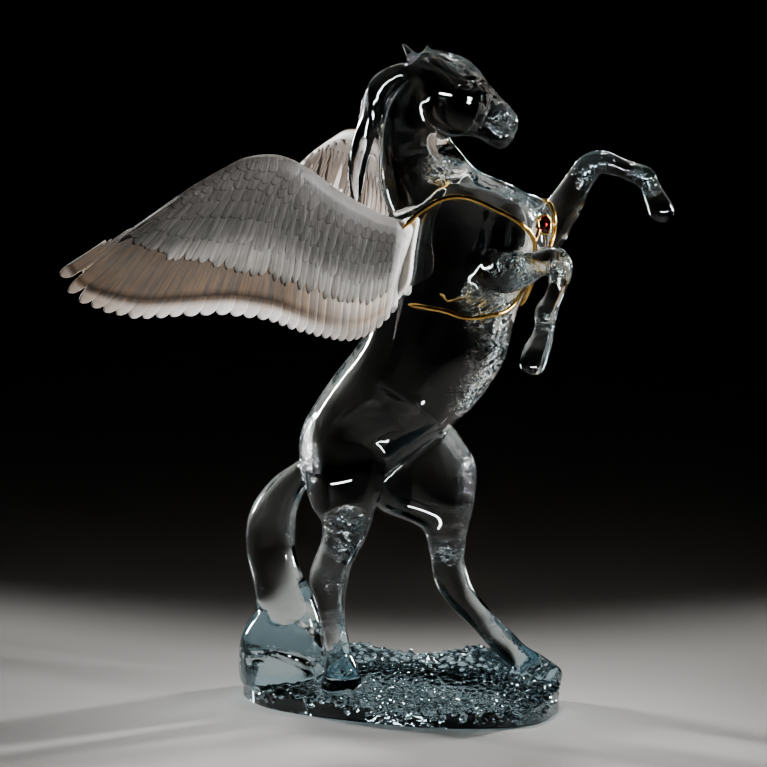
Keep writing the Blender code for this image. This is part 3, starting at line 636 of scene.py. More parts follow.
def chipShape():
    # One splinter of crushed crystal, about a unit across, with blunt points.
    mesh = bmesh.new()
    bmesh.ops.create_icosphere(mesh, subdivisions=1, radius=0.5)
    chance = random.Random(base["chipSeed"])
    for vertex in mesh.verts:
        vertex.co *= chance.uniform(0.78, 1.12)
    return makeObject("crystal_chip", mesh, smooth=False)


def chipTree():
    tree, enter, names = makeTree("crushed crystal", [
        ("Chip", "Object"), ("Spacing", "Float"), ("Size", "Vector"), ("Seed", "Int"),
        ("Material", "Material"),
    ])
    points = addNode(tree, "GeometryNodeDistributePointsOnFaces",
                     {"distribute_method": "POISSON"}, {"Density Max": 90000.0},
                     {"Mesh": (enter, "Geometry"), "Distance Min": (enter, "Spacing"),
                      "Seed": (enter, "Seed")})
    turn = addNode(tree, "FunctionNodeRandomValue", {"data_type": "FLOAT_VECTOR"},
                   {"Min": (-0.75, -0.75, 0.0), "Max": (0.75, 0.75, 6.283)},
                   {"Seed": (enter, "Seed")})
    grow = addNode(tree, "FunctionNodeRandomValue", {"data_type": "FLOAT"}, {2: 0.65, 3: 1.35},
                   {"Seed": (enter, "Seed")})
    size = addNode(tree, "ShaderNodeVectorMath", {"operation": "SCALE"},
                   links={"Vector": (enter, "Size"), "Scale": (grow, 1)})
    chip = addNode(tree, "GeometryNodeObjectInfo", links={"Object": (enter, "Chip")})
    placed = addNode(tree, "GeometryNodeInstanceOnPoints",
                     links={"Points": (points, "Points"), "Instance": (chip, "Geometry"),
                            "Rotation": (turn, 0), "Scale": (size, "Vector")})
    closeTree(tree, enter, placed, "Instances")
    return tree, names


def chipGround():
    # Where the chips lie: the base's top, and a skirt of waves that hangs over its wall.
    rings, angles = baseRings(base["inset"], 0.0010)
    skirt = []
    for angle in angles:
        x, y = baseOutline(angle, base["inset"])
        wave = 0.5 + 0.5 * math.sin(3 * angle + 0.8) * math.sin(5 * angle + 2.0)
        depth = base["skirtDepth"] * (0.25 + 0.75 * wave)
        top = float(baseTop(x, y)) - 0.0045
        skirt.append(Vector((x, y, max(0.004, top - depth))))
    rings.append(skirt)
    mesh = bmesh.new()
    rows = [[mesh.verts.new(point) for point in ring] for ring in rings]
    mesh.faces.new(rows[0])
    for lower, upper in zip(rows, rows[1:]):
        for i in range(len(lower)):
            mesh.faces.new((lower[i - 1], lower[i], upper[i], upper[i - 1]))
    return makeObject("chip_ground", mesh)


def crushedChips(look):
    tree, names = chipTree()
    chip = chipShape()
    mesh = runTree(chipGround(), tree, names, {
        "Chip": chip, "Spacing": base["chipSpacing"], "Size": base["chipSize"],
        "Seed": base["chipSeed"], "Material": look,
    })
    removeObject(chip)
    return mesh


def neighbourAverage(points, edges, counts):
    # The middle of each point's neighbours.
    total = np.zeros_like(points)
    for axis in range(3):
        total[:, axis] += np.bincount(edges[:, 0], points[edges[:, 1], axis], len(points))
        total[:, axis] += np.bincount(edges[:, 1], points[edges[:, 0], axis], len(points))
    return total / counts[:, None]


def soften(mesh, points, weight, rounds):
    # Each round moves the points half way to their neighbours' middle, times the weight.
    edges = np.zeros(len(mesh.edges) * 2, int)
    mesh.edges.foreach_get("vertices", edges)
    edges = edges.reshape(-1, 2)
    counts = np.maximum(1, np.bincount(edges.ravel(), minlength=len(points)))
    for turn in range(rounds):
        pull = neighbourAverage(points, edges, counts) - points
        points = points + pull * (0.5 * weight)[:, None]
    return points


def drawn(points):
    # Metres back to drawn millimetres.
    lifted = points - np.array([0, 0, figure["baseHeight"]])
    return lifted / figure["scale"] + np.array([0, 0, figure["drawnRim"]])


def strokeRise(places, tree):
    # How far each point rises under the carver's strokes, in drawn millimetres.
    rise = np.zeros(len(places))
    for name, sides, line, height, halfWidth in strokes:
        for side in sides:
            samples = []
            for x, z in smoothRows(line, 8):
                start = placeDrawn(x, side * 200, z)
                hit = tree.ray_cast(start, Vector((0, -side, 0)))[0]
                if hit is not None:
                    samples.append(drawn(np.array(hit)))
            if not samples:
                continue
            samples = np.array(samples)
            low, high = samples.min(0) - halfWidth * 2, samples.max(0) + halfWidth * 2
            close = np.nonzero(((places > low) & (places < high)).all(1))[0]
            away = np.sqrt(((places[close, None, :] - samples[None]) ** 2).sum(2).min(1))
            rise[close] += height * np.exp(-(away / halfWidth) ** 2)
    return rise


def rippleRise(places):
    # How far each point rises in the rippled places, in drawn millimetres. Without the seed,
    # noise_vector would bend the ripples another way in each run.
    noise.seed_set(horse["rippleSeed"])
    fineness, bending = horse["rippleBend"]
    rise = np.zeros(len(places))
    for x, y, z, reach, height, grain in ripples:
        close = np.nonzero(np.abs(places - (x, y, z)).max(1) < reach)[0]
        away = np.full(len(places), reach, float)
        away[close] = np.sqrt(((places[close] - (x, y, z)) ** 2).sum(1))
        for i in np.nonzero(away < reach)[0]:
            spot = Vector(places[i]) / grain
            bend = noise.noise_vector(spot * fineness) * bending
            fade = 1 - (away[i] / reach) ** 2
            rise[i] += height * fade * (1 - 2 * abs(noise.noise(spot + bend)))
    return rise


def crackleAt(places):
    # How strongly the skin is tooled at each point, from 0 to 1.
    strength = np.zeros(len(places))
    for x, y, z, reach, height, grain in ripples:
        away = ((places - (x, y, z)) ** 2).sum(1)
        strength = np.maximum(strength, min(1.0, height) * smoothStep(reach ** 2, 0.15 * reach ** 2, away))
    return strength


def lockRise(places):
    # Broad locks along the tail and the mane.
    rise = np.zeros(len(places))
    for name, (locks, depth, twist) in horse["locks"].items():
        rows = np.array(smoothRows(horse[name], 8))
        near = np.nonzero((places[:, 0] < rows[:, 0].max() + 12) & (places[:, 0] > rows[:, 0].min() - 45)
                          & (places[:, 2] > rows[:, 2].min()) & (places[:, 2] < rows[:, 2].max()))[0]
        away = ((places[near, None, :] - rows[None, :, :3]) ** 2).sum(2)
        nearest = away.argmin(1)
        row = rows[nearest]
        offset = places[near] - row[:, :3]
        ratio = np.sqrt(away.min(1)) / np.maximum(row[:, 3], row[:, 4])
        angle = np.arctan2(offset[:, 1] / row[:, 4], offset[:, 0] / row[:, 3])
        fold = np.cos(locks * angle + twist * row[:, 2] * locks)
        inside = smoothStep(1.25, 1.05, ratio)
        foot = smoothStep(24, 60, row[:, 2])
        rise[near] += depth * (1 - np.abs(fold) * 1.4) * inside * foot
    return rise


def buildHorse(look):
    mesh = bmesh.new()
    addBase(mesh)
    addHorse(mesh)
    source = bpy.data.meshes.new("horse_source")
    mesh.to_mesh(source)
    mesh.free()
    chips = crushedChips(look)
    mesh = bmesh.new()
    mesh.from_mesh(source)
    mesh.from_mesh(chips)
    rough = makeObject("crystal_pegasus_horse", mesh)
    fuse = rough.modifiers.new("Fuse", "REMESH")
    fuse.mode = "VOXEL"
    fuse.voxel_size = horse["voxel"]
    fused = evaluatedMesh(rough)
    removeObject(rough)
    print("stage: horse fused,", triangleCount(fused), "triangles")

    points = meshPoints(fused)
    low, high = horse["crushFade"]
    body = smoothStep(low, high, points[:, 2] - baseTop(points[:, 0], points[:, 1]))
    ears = smoothStep(*horse["earTips"], drawn(points)[:, 2])
    points = soften(fused, points, body * (1 - (1 - horse["earTipsSoft"]) * ears), horse["softRounds"])
    points = soften(fused, points, np.ones(len(points)), 2)
    setPoints(fused, points)
    places = drawn(points)
    rise = strokeRise(places, meshTree(fused)) + rippleRise(places) + lockRise(places)
    points = points + meshNormals(fused) * (rise * body * figure["scale"])[:, None]
    points = soften(fused, points, np.ones(len(points)), 1)
    setPoints(fused, points)
    piece = makeObject("crystal_pegasus_horse", thinOut(fused, horse["triangles"]))
    points = meshPoints(piece.data)
    crush = smoothStep(high, low, points[:, 2] - baseTop(points[:, 0], points[:, 1]))
    for name, value in (("crush", crush), ("crackle", crackleAt(drawn(points)) * (1 - crush))):
        layer = piece.data.attributes.new(name, "FLOAT", "POINT")
        layer.data.foreach_set("value", value.astype(np.float32))
    # The crushed top keeps its facets; everything else is fire polished.
    polished = [bool(crush[list(face.vertices)].min() < 0.9) for face in piece.data.polygons]
    piece.data.polygons.foreach_set("use_smooth", polished)
    keepInside(piece.data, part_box("crystal_horse"))
    piece.data.materials.clear()
    piece.data.materials.append(look)
    return piece


def thinOut(dense, count):
    # Fewer faces where the skin is smooth, and a flat foot where the piece stands.
    source = makeObject("dense_skin", dense)
    thin = source.modifiers.new("Thin out", "DECIMATE")
    thin.ratio = count / triangleCount(dense)
    mesh = bmesh.new()
    mesh.from_mesh(evaluatedMesh(source))
    removeObject(source)
    everything = mesh.verts[:] + mesh.edges[:] + mesh.faces[:]
    cut = bmesh.ops.bisect_plane(mesh, geom=everything, plane_co=(0, 0, figure["margin"]),
                                 plane_no=(0, 0, 1), clear_inner=True)
    rim = [item for item in cut["geom_cut"] if isinstance(item, bmesh.types.BMEdge)]
    bmesh.ops.contextual_create(mesh, geom=rim)
    bmesh.ops.recalc_face_normals(mesh, faces=mesh.faces)
    data = bpy.data.meshes.new("thin_skin")
    mesh.to_mesh(data)
    mesh.free()
    return data


clearGlass = {
    "clear": "#F3FAFB",
    "tooled": "#BEDCE7",      # painted sea blue where crackled or crushed, for the coloured light that the crystal splits there
    "cords": 14.0,            # spacing of the faint cords in the melt, in mm
    "cordHeight": 0.0006,
    "veins": 7.0,             # spacing of the crackle's veins, in mm
    "veinHeight": 0.0009,
    "tooledRoughness": 0.015,
}


def clearCrystal():
    # Lead crystal, gathered hot and fire polished: heavy sparkle, a very smooth skin over faint
    # cords, and fine veins where the maker's tools chilled it.
    look, tree, shader = newMaterial("fire polished lead crystal", {
        "Transmission Weight": 1.0,
        "IOR": 1.54,
    })
    place = addNode(tree, "ShaderNodeTexCoord")
    crackle = addNode(tree, "ShaderNodeAttribute", {"attribute_name": "crackle"})
    crush = addNode(tree, "ShaderNodeAttribute", {"attribute_name": "crush"})
    cords = addNode(tree, "ShaderNodeTexNoise", inputs={"Scale": 1000 / clearGlass["cords"], "Detail": 1.0},
                    links={"Vector": (place, "Object")})
    veins = addNode(tree, "ShaderNodeTexNoise", inputs={"Scale": 1000 / clearGlass["veins"], "Detail": 2.0,
                                                       "Distortion": 1.6},
                    links={"Vector": (place, "Object")})
    centred = addNode(tree, "ShaderNodeMath", {"operation": "SUBTRACT"}, {1: 0.5}, {0: (veins, "Fac")})
    valley = addNode(tree, "ShaderNodeMath", {"operation": "ABSOLUTE"}, links={0: (centred, 0)})
    ridge = addNode(tree, "ShaderNodeMapRange", inputs={"From Min": 0.05, "From Max": 0.0},
                    links={"Value": (valley, 0)})
    tooled = addNode(tree, "ShaderNodeMath", {"operation": "MULTIPLY"},
                     links={0: (ridge, "Result"), 1: (crackle, "Fac")})
    soft = addNode(tree, "ShaderNodeBump", inputs={"Strength": 0.25, "Distance": clearGlass["cordHeight"]},
                   links={"Height": (cords, "Fac")})
    sharp = addNode(tree, "ShaderNodeBump", inputs={"Strength": 0.5, "Distance": clearGlass["veinHeight"]},
                    links={"Height": (tooled, 0), "Normal": (soft, "Normal")})
    tree.links.new(sharp.outputs["Normal"], shader.inputs["Normal"])
    # Painted colour: crackled and crushed places are tinted sea blue, standing in for the coloured light
    # that the crystal splits there.
    worked = addNode(tree, "ShaderNodeMath", {"operation": "MAXIMUM"},
                     links={0: (crackle, "Fac"), 1: (crush, "Fac")})
    tint = mixColours(tree, "MIX", (worked, 0), clearGlass["clear"], clearGlass["tooled"])
    tree.links.new(tint[0].outputs[tint[1]], shader.inputs["Base Color"])
    rough = addNode(tree, "ShaderNodeMapRange",
                    inputs={"To Min": 0.0, "To Max": clearGlass["tooledRoughness"]},
                    links={"Value": (worked, 0)})
    tree.links.new(rough.outputs["Result"], shader.inputs["Roughness"])
    return look


# The wings, cast in satin-frosted crystal. Each is laid out flat on a board, in drawn millimetres:
# out from the root, up, and how far a thing rises off the wing's core. Then it is bent. A place
# on the board is also given as its share of the span and its reach, which runs from 0 at the
# leading edge to 1 at the feather tips. The fan's lines are (share, out, up, out, up), from the
# leading edge to the tips.

wing = {
    "sweep": 31.0,            # degrees back from straight behind, outwards
    "lift": {-1: 0.0, 1: 2.5},  # degrees that each side's wing is tipped up
    "camber": 5.0,
    "root": (17.7, 38.0),
    "pivot": 330.0,
    "rootThickness": 13.0,
    "frontThickness": 8.5,
    "rearThickness": 3.6,
    "coreEnd": 0.90,          # the thick core stops at this reach, and thin feather tips go on
    "coreShares": (-0.039, 0.981),  # and it spans from here to here
    "skin": 0.8,              # how thick the feathers lie on the core
    "fan": [
        (0.0, -1.5, 358, 7.5, 296), (0.1, 15, 363, 24, 280), (0.2, 32.5, 372, 40, 274),
        (0.3, 50.5, 383, 58, 276.5), (0.4, 69.5, 397, 77, 282), (0.5, 83.5, 404.5, 98, 289.5),
        (0.6, 96.5, 407, 128.5, 294.5), (0.7, 114, 405, 164, 294), (0.8, 130, 397.5, 195, 294.5),
        (0.9, 152.5, 385, 223, 303), (0.95, 170, 373, 236.5, 312), (1.0, 187.5, 361.5, 245.5, 330.5),
    ],
    "flights": 32,
    # The coverts' lower edge, as share and reach: level, then running out to the wing's tip.
    "covertEdge": [(0.0, 0.70), (0.55, 0.71), (0.70, 0.65), (0.82, 0.57), (0.91, 0.47), (0.98, 0.27),
                   (1.05, 0.05)],
    "smoothBand": 0.19,       # the rolled leading edge near the root has no feathers to this reach
    "bandRise": 0.35,
    "flatter": 0.72,          # how much flatter the long feathers lie in the outer wing
    "innerRise": 0.4,         # the inner face's relief, as a share of the outer one's,
    "innerLift": {"flight": 0.42, "long": 0.2, "scale": 0.2},  # and how far it is lifted
    "gluedWithin": 0.0008,    # what is nearer to the horse than this is glued to it
    "seed": 11,
}

# Rows of coverts: shape, first and last share, count, where the row starts and ends as a share of
# the coverts' reach, width over spacing, and degrees that it swings towards the wing's tip.
outerRows = [
    ("long", 0.012, 0.985, 42, 0.50, 1.02, 1.45, 3),
    ("long", 0.020, 0.97, 38, 0.36, 0.80, 1.50, 7),
    ("long", 0.015, 0.95, 32, 0.26, 0.60, 1.50, 12),
    ("scale", 0.00, 0.93, 25, 0.20, 0.46, 1.85, 22),
    ("scale", 0.01, 0.42, 12, 0.12, 0.34, 1.80, 16),
    ("scale", 0.38, 0.92, 13, 0.11, 0.36, 1.75, 24),
    ("scale", 0.41, 0.89, 12, 0.04, 0.27, 1.75, 26),
    ("scale", 0.43, 0.87, 10, -0.02, 0.18, 1.75, 28),
]
innerRows = [
    ("long", 0.02, 0.97, 22, 0.30, 0.90, 1.35, 6),
    ("scale", 0.01, 0.93, 16, 0.12, 0.44, 1.50, 18),
]

# Feather shapes: columns, rows, share of the length that is the round tip, crown, rise towards
# the tip, roll over the neighbour and rib height in millimetres, and the tip's lean to one side.
featherShapes = {
    "flight": (10, 22, 0.12, 0.42, 0.1, 0.80, 0.07, -0.25),
    "long": (6, 11, 0.26, 0.34, 0.34, 0.34, 0.05, -0.12),
    "scale": (6, 8, 0.62, 0.20, 0.34, 0.12, 0.03, 0.0),
}


def fanLine(share):
    # The line of the fan at a share of the span: a smooth curve through the given lines.
    rows = wing["fan"]
    if share < 0 or share > 1:
        end = 0.0 if share < 0 else 1.0
        inner = 0.01 if share < 0 else 0.99
        edge, near = fanLine(end), fanLine(inner)
        return edge + (near - edge) * (share - end) / (inner - end)
    i = max(k for k in range(len(rows) - 1) if rows[k][0] <= share or k == 0)
    before, start, end, after = rows[max(0, i - 1)], rows[i], rows[i + 1], rows[min(len(rows) - 1, i + 2)]
    span = end[0] - start[0]
    t = (share - start[0]) / span
    values = []
    for k in range(1, 5):
        slopeIn = (end[k] - before[k]) / (end[0] - before[0]) * span
        slopeOut = (after[k] - start[k]) / (after[0] - start[0]) * span
        a = 2 * start[k] - 2 * end[k] + slopeIn + slopeOut
        b = -3 * start[k] + 3 * end[k] - 2 * slopeIn - slopeOut
        values.append(((a * t + b) * t + slopeIn) * t + start[k])
    return np.array(values)


fanShares = np.linspace(-0.08, 1.08, 465)
fanValues = np.array([fanLine(share) for share in fanShares])


def boardPoint(share, reach):
    # The point on the board at a share of the span and of the reach, as (out, up).
    leadOut, leadUp, tipOut, tipUp = (np.interp(share, fanShares, fanValues[:, k]) for k in range(4))
    return np.stack([leadOut + (tipOut - leadOut) * reach, leadUp + (tipUp - leadUp) * reach], -1)


def boardPlace(points):
    # The share and the reach of points on the board, by halving.
    low = np.full(len(points), fanShares[0])
    high = np.full(len(points), fanShares[-1])
    for turn in range(30):
        middle = (low + high) / 2
        start, end = boardPoint(middle, 0.0), boardPoint(middle, 1.0)
        along, away = end - start, points - start
        past = along[:, 0] * away[:, 1] - along[:, 1] * away[:, 0] > 0
        high = np.where(past, high, middle)
        low = np.where(past, middle, low)
    along = end - start
    reach = ((points - start) * along).sum(1) / (along * along).sum(1)
    return middle, reach


def halfThickness(share, reach):
    # Thick at the root and the leading edge, and thinner towards the tip and the rear.
    root = wing["rootThickness"] - wing["frontThickness"]
    front = wing["frontThickness"] + root * smoothStep(0.35, 0.0, share)
    front = front * (1 - 0.35 * smoothStep(0.6, 1.0, share))
    blend = smoothStep(0.0, 1.0, np.clip(reach, 0, 1) ** 0.75)
    return (front + (wing["rearThickness"] - front) * blend) / 2


def coreHalf(share, reach):
    # Half the core's thickness under the feathers, with a round nose and a round rear end.
    nose = np.sqrt(np.clip(reach / 0.07, 0, 1))
    rear = np.sqrt(np.clip((wing["coreEnd"] - reach) / 0.05, 0, 1))
    end = np.sqrt(np.clip((0.982 - share) / 0.03, 0, 1)) * np.sqrt(np.clip((share + 0.04) / 0.03, 0, 1))
    return np.maximum(0, halfThickness(share, reach) - wing["skin"]) * nose * rear * end * tipTaper(share)


def tipTaper(share):
    # The two faces come together in the outermost feather.
    return 1 - 0.9 * smoothStep(0.90, 0.985, share)


def bandRise(share, reach):
    # The rolled leading edge stands over the feathers behind it, from the root to the wrist.
    edge = wing["smoothBand"] * (1 - 0.5 * smoothStep(0.30, 0.46, share))
    band = smoothStep(edge + 0.03, edge - 0.03, reach) * smoothStep(0.47, 0.36, share)
    return wing["bandRise"] * band * smoothStep(0.0, 0.09, reach)


def featherFloor(share, reach):
    # What the feathers lie on: the core, sinking softly behind its rear end.
    nose = np.sqrt(np.clip(reach / 0.075, 0, 1))
    rear = 1 - 0.78 * smoothStep(wing["coreEnd"] - 0.05, wing["coreEnd"] + 0.02, reach)
    return np.maximum(0, halfThickness(share, reach) - 1.0) * nose * rear * tipTaper(share)


def bendWing(side, board, offset):
    # Board points and their offsets outwards from the wing's middle sheet, bent into place.
    share, reach = boardPlace(board)
    out, up = board[:, 0], board[:, 1]
    lift = math.radians(wing["lift"][side])
    pivot = wing["pivot"]
    out, up = (out * math.cos(lift) - (up - pivot) * math.sin(lift),
               pivot + (up - pivot) * math.cos(lift) + out * math.sin(lift))
    sweep = math.radians(wing["sweep"])
    bulge = wing["camber"] * np.sin(math.pi * np.clip(reach, 0, 1)) * smoothStep(0.0, 0.3, share)
    proud = offset + bulge
    rootX, rootY = wing["root"]
    x = rootX - math.cos(sweep) * out + math.sin(sweep) * proud
    y = (-rootY - math.sin(sweep) * out - math.cos(sweep) * proud) * -side
    z = (up - figure["drawnRim"]) * figure["scale"] + figure["baseHeight"]
    return np.stack([x * figure["scale"], y * figure["scale"], z], -1)


def featherMesh(name):
    # A feather a unit wide and a unit long, with its rise in millimetres: a crowned blade with a
    # shaft and soft ribs along it, and a flat back.
    columns, rows, tip, crown, lift, roll, rib, lean = featherShapes[name]
    mesh = bmesh.new()
    grid = []
    for j in range(rows + 1):
        along = 1 - (1 - j / rows) ** 1.5
        width = 0.15 + 0.85 * float(smoothStep(-0.02, 0.34, along))
        side = 0.0
        if along > 1 - tip:
            full = width
            width *= math.sqrt(max(0.0, 1 - ((along - 1 + tip) / tip) ** 2))
            side = lean * (full - width) / 2
        line = []
        for i in range(columns + 1):
            across = -math.cos(math.pi * i / columns) / 2
            x = across * max(0.06, width) + side
            dome = 1 - (2 * across) ** 2
            ribs = rib * math.cos(2 * math.pi * 4 * across) * dome
            shaft = 0.25 * crown * math.exp(-(across / 0.06) ** 2) * (1 - along)
            fold = -0.12 * crown * (1 - along) * math.exp(-(across / 0.2) ** 2)
            z = crown * dome ** 0.5 + ribs + shaft + fold + lift * along + roll * across
            line.append(mesh.verts.new((x, along, z - 0.25 * crown)))
        grid.append(line)
    rims = grid[0] + [line[-1] for line in grid[1:-1]]
    rims += grid[-1][::-1] + [line[0] for line in grid[-2:0:-1]]
    for near, far in zip(grid, grid[1:]):
        for i in range(columns):
            mesh.faces.new((near[i], near[i + 1], far[i + 1], far[i]))
    backs = [mesh.verts.new((v.co.x * 0.96, v.co.y, v.co.z - 0.55)) for v in rims]
    for i in range(len(rims)):
        mesh.faces.new((rims[i - 1], rims[i], backs[i], backs[i - 1]))
    mesh.faces.new(backs)
    bmesh.ops.recalc_face_normals(mesh, faces=mesh.faces)
    return makeObject("feather_" + name, mesh)


def featherTree():
    tree, enter, names = makeTree("rows of feathers", [
        ("Feather", "Object"), ("Swing", "Float"), ("Length change", "Float"),
        ("Seed", "Int"), ("Material", "Material"),
    ])
    turn = addNode(tree, "GeometryNodeInputNamedAttribute", {"data_type": "FLOAT"}, {"Name": "turn"})
    size = addNode(tree, "GeometryNodeInputNamedAttribute", {"data_type": "FLOAT_VECTOR"},
                   {"Name": "size"})
    chance = addNode(tree, "FunctionNodeRandomValue", {"data_type": "FLOAT_VECTOR"},
                     {"Min": (-1, -1, 0), "Max": (1, 1, 1)}, {"Seed": (enter, "Seed")})
    parts = addNode(tree, "ShaderNodeSeparateXYZ", links={"Vector": (chance, "Value")})
    swing = addNode(tree, "ShaderNodeMath", {"operation": "MULTIPLY_ADD"},
                    links={0: (parts, "X"), 1: (enter, "Swing"), 2: (turn, "Attribute")})
    angles = addNode(tree, "ShaderNodeCombineXYZ", links={"Z": (swing, 0)})
    change = addNode(tree, "ShaderNodeMath", {"operation": "MULTIPLY_ADD"}, {2: 1.0},
                     {0: (parts, "Y"), 1: (enter, "Length change")})
    stretch = addNode(tree, "ShaderNodeCombineXYZ", inputs={"X": 1.0, "Z": 1.0},
                      links={"Y": (change, 0)})
    scale = addNode(tree, "ShaderNodeVectorMath", {"operation": "MULTIPLY"},
                    links={0: (size, "Attribute"), 1: (stretch, "Vector")})
    feather = addNode(tree, "GeometryNodeObjectInfo", links={"Object": (enter, "Feather")})
    points = addNode(tree, "GeometryNodeMeshToPoints", links={"Mesh": (enter, "Geometry")})
    placed = addNode(tree, "GeometryNodeInstanceOnPoints",
                     links={"Points": (points, "Points"), "Instance": (feather, "Geometry"),
                            "Rotation": (angles, "Vector"), "Scale": (scale, "Vector")})
    toned = addNode(tree, "GeometryNodeStoreNamedAttribute",
                    {"data_type": "FLOAT", "domain": "INSTANCE"}, {"Name": "tone"},
                    {"Geometry": (placed, "Instances"), "Value": (parts, "Z")})
    closeTree(tree, enter, toned, "Geometry")
    return tree, names


def featherGuide(starts, tips, widths):
    # One point for each feather, with the turn and the size that the tree reads.
    data = bpy.data.meshes.new("feather_guide")
    data.from_pydata([(x, y, 0) for x, y in starts], [], [])
    along = tips - starts
    lengths = np.sqrt((along * along).sum(1))
    turn = np.arctan2(along[:, 1], along[:, 0]) - math.pi / 2
    data.attributes.new("turn", "FLOAT", "POINT").data.foreach_set("value", turn.astype(np.float32))
    size = np.stack([widths, lengths, np.ones(len(lengths))], -1)
    data.attributes.new("size", "FLOAT_VECTOR", "POINT").data.foreach_set(
        "vector", size.astype(np.float32).ravel())
    return makeObject("feather_guide", data, smooth=False)


def covertReach(share):
    shares, reaches = zip(*wing["covertEdge"])
    return np.interp(share, shares, reaches)


def spacingAt(shares, reach, step):
    # The distance between neighbouring lines of the fan, square to them.
    before, after = boardPoint(shares - step / 2, reach), boardPoint(shares + step / 2, reach)
    along = boardPoint(shares, 1.0) - boardPoint(shares, 0.0)
    along /= np.sqrt((along * along).sum(1))[:, None]
    gap = after - before
    return np.abs(gap[:, 0] * along[:, 1] - gap[:, 1] * along[:, 0])


def flightRow(count, start):
    # The long feathers' roots, tips and widths; they start this far in under the coverts.
    shares = np.linspace(0.014, 0.986, count)
    first = np.maximum(0.03, covertReach(shares) - start)
    starts, tips = boardPoint(shares, first), boardPoint(shares, 0.995)
    # The outermost ones are slim, so that the wing's edge runs on smoothly into its tip.
    slim = 1.3 - 0.55 * smoothStep(0.86, 0.98, shares)
    return starts, tips, spacingAt(shares, 0.86, 1 / count) * slim


def covertRow(low, high, count, start, end, overlap, swing):
    # The roots, tips and widths of one row of coverts.
    shares = low + (high - low) * (np.arange(count) + 0.5) / count
    edge = covertReach(shares)
    starts = boardPoint(shares, edge * start)
    tips = boardPoint(shares, edge * end)
    along = tips - starts
    turn = math.radians(swing)
    turned = np.stack([along[:, 0] * math.cos(turn) - along[:, 1] * math.sin(turn),
                       along[:, 0] * math.sin(turn) + along[:, 1] * math.cos(turn)], -1)
    lengths = np.sqrt((turned * turned).sum(1))
    shortest = 8.0
    turned *= (np.maximum(lengths, shortest) / lengths)[:, None]
    widths = spacingAt(shares, edge * end, (high - low) / count) * overlap
    return starts, starts + turned, widths


def featherLayer(side, face, look, feathers, tree, names):
    # One face's feathers on the board, then bent onto that face of the core.
    rows = [("flight", *flightRow(wing["flights"], 0.3 if face > 0 else 0.5), 0.006, 0.004)]
    for shape, *places in outerRows if face > 0 else innerRows:
        rows.append((shape, *covertRow(*places), 0.05, 0.07))
    meshes = []
    for number, (shape, starts, tips, widths, swing, change) in enumerate(rows):
        guide = featherGuide(starts, tips, widths)
        mesh = runTree(guide, tree, names, {
            "Feather": feathers[shape], "Swing": swing, "Length change": change,
            "Seed": wing["seed"] + number + (50 if face < 0 else 0), "Material": look,
        })
        points = meshPoints(mesh)
        share, reach = boardPlace(points[:, :2])
        # What would stand out past the leading edge is drawn in behind it.
        reach = np.where(reach < 0.03, 0.004 + 0.026 * np.exp(np.minimum(0, reach - 0.03) / 0.026), reach)
        rise = points[:, 2] * (0.35 + 0.65 * smoothStep(0.0, 0.06, reach))
        if shape == "flight":
            # Long feathers stand apart near the root and at their tips, and lie flat between.
            rise *= 1 - wing["flatter"] * smoothStep(0.30, 0.50, share) * smoothStep(0.93, 0.89, reach)
        else:
            rise += 0.25
        if face < 0:
            # The inner face is plainer: low feathers that cover the core.
            rise = rise * wing["innerRise"] + wing["innerLift"][shape]
        offset = (featherFloor(share, reach) + rise) * face
        setPoints(mesh, bendWing(side, boardPoint(share, reach), offset))
        addMarks(mesh, reach, share, shape != "flight", face < 0)
        meshes.append(mesh)
    return meshes


def addMarks(mesh, reach, share, covert, inner):
    # What the material reads: the place on the wing, and what the face belongs to.
    count = len(mesh.vertices)
    for name, value in (("reach", reach), ("share", share), ("covert", covert), ("inner", inner)):
        layer = mesh.attributes.new(name, "FLOAT", "POINT")
        layer.data.foreach_set("value", np.broadcast_to(np.asarray(value, np.float32), count).copy())


def wingCore(side):
    # The core: outer face, round nose and inner face in one closed skin.
    first, last = wing["coreShares"]
    across = np.concatenate([np.linspace(first, -0.012, 6), np.linspace(0.0, 0.96, 90),
                             np.linspace(0.9625, last, 9)])
    reach = wing["coreEnd"] * (1 - np.cos(np.linspace(0, math.pi, 60))) / 2
    loop = [(r, 1) for r in reach[::-1]] + [(r, -1) for r in reach[1:-1]]
    reaches = np.array([r for r, face in loop])
    faces = np.array([face for r, face in loop])
    mesh = bmesh.new()
    rings = []
    for share in across:
        shares = np.full(len(loop), share)
        offset = (coreHalf(shares, reaches) + bandRise(shares, reaches)) * faces
        # Its corner at the tip is cut back, where the last feathers spread.
        drawnIn = reaches * (1 - 0.12 * smoothStep(0.93, 0.98, share))
        rings.append([Vector(p) for p in bendWing(side, boardPoint(shares, drawnIn), offset)])
    addLoft(mesh, rings)
    data = bpy.data.meshes.new("wing_core")
    mesh.to_mesh(data)
    mesh.free()
    addMarks(data, np.tile(reaches, len(across)), np.repeat(across, len(loop)), False,
             np.tile(faces < 0, len(across)))
    return data


# The plate at the wing's root that lies on the horse's side: forward x and height of its outline.
flange = {
    "outline": [
        (7, 352), (13, 358), (20, 361), (27, 360), (26, 349), (24.5, 336), (23.5, 322),
        (21.5, 314), (17, 308), (11, 303), (5, 306), (2, 320),
    ],
    "thickness": 4.2,
    "backHeight": 0.35,       # its back stands this far off the horse
    "ruffle": 0.25,           # its edge is pinched into small waves
    # Its round edge, as shares of the outline and of the thickness.
    "profile": [(1.0, 0.0), (1.0, 0.35), (0.985, 0.62), (0.95, 0.83), (0.89, 0.95), (0.8, 1.0),
                (0.6, 1.02), (0.35, 1.03), (0.12, 1.03)],
}


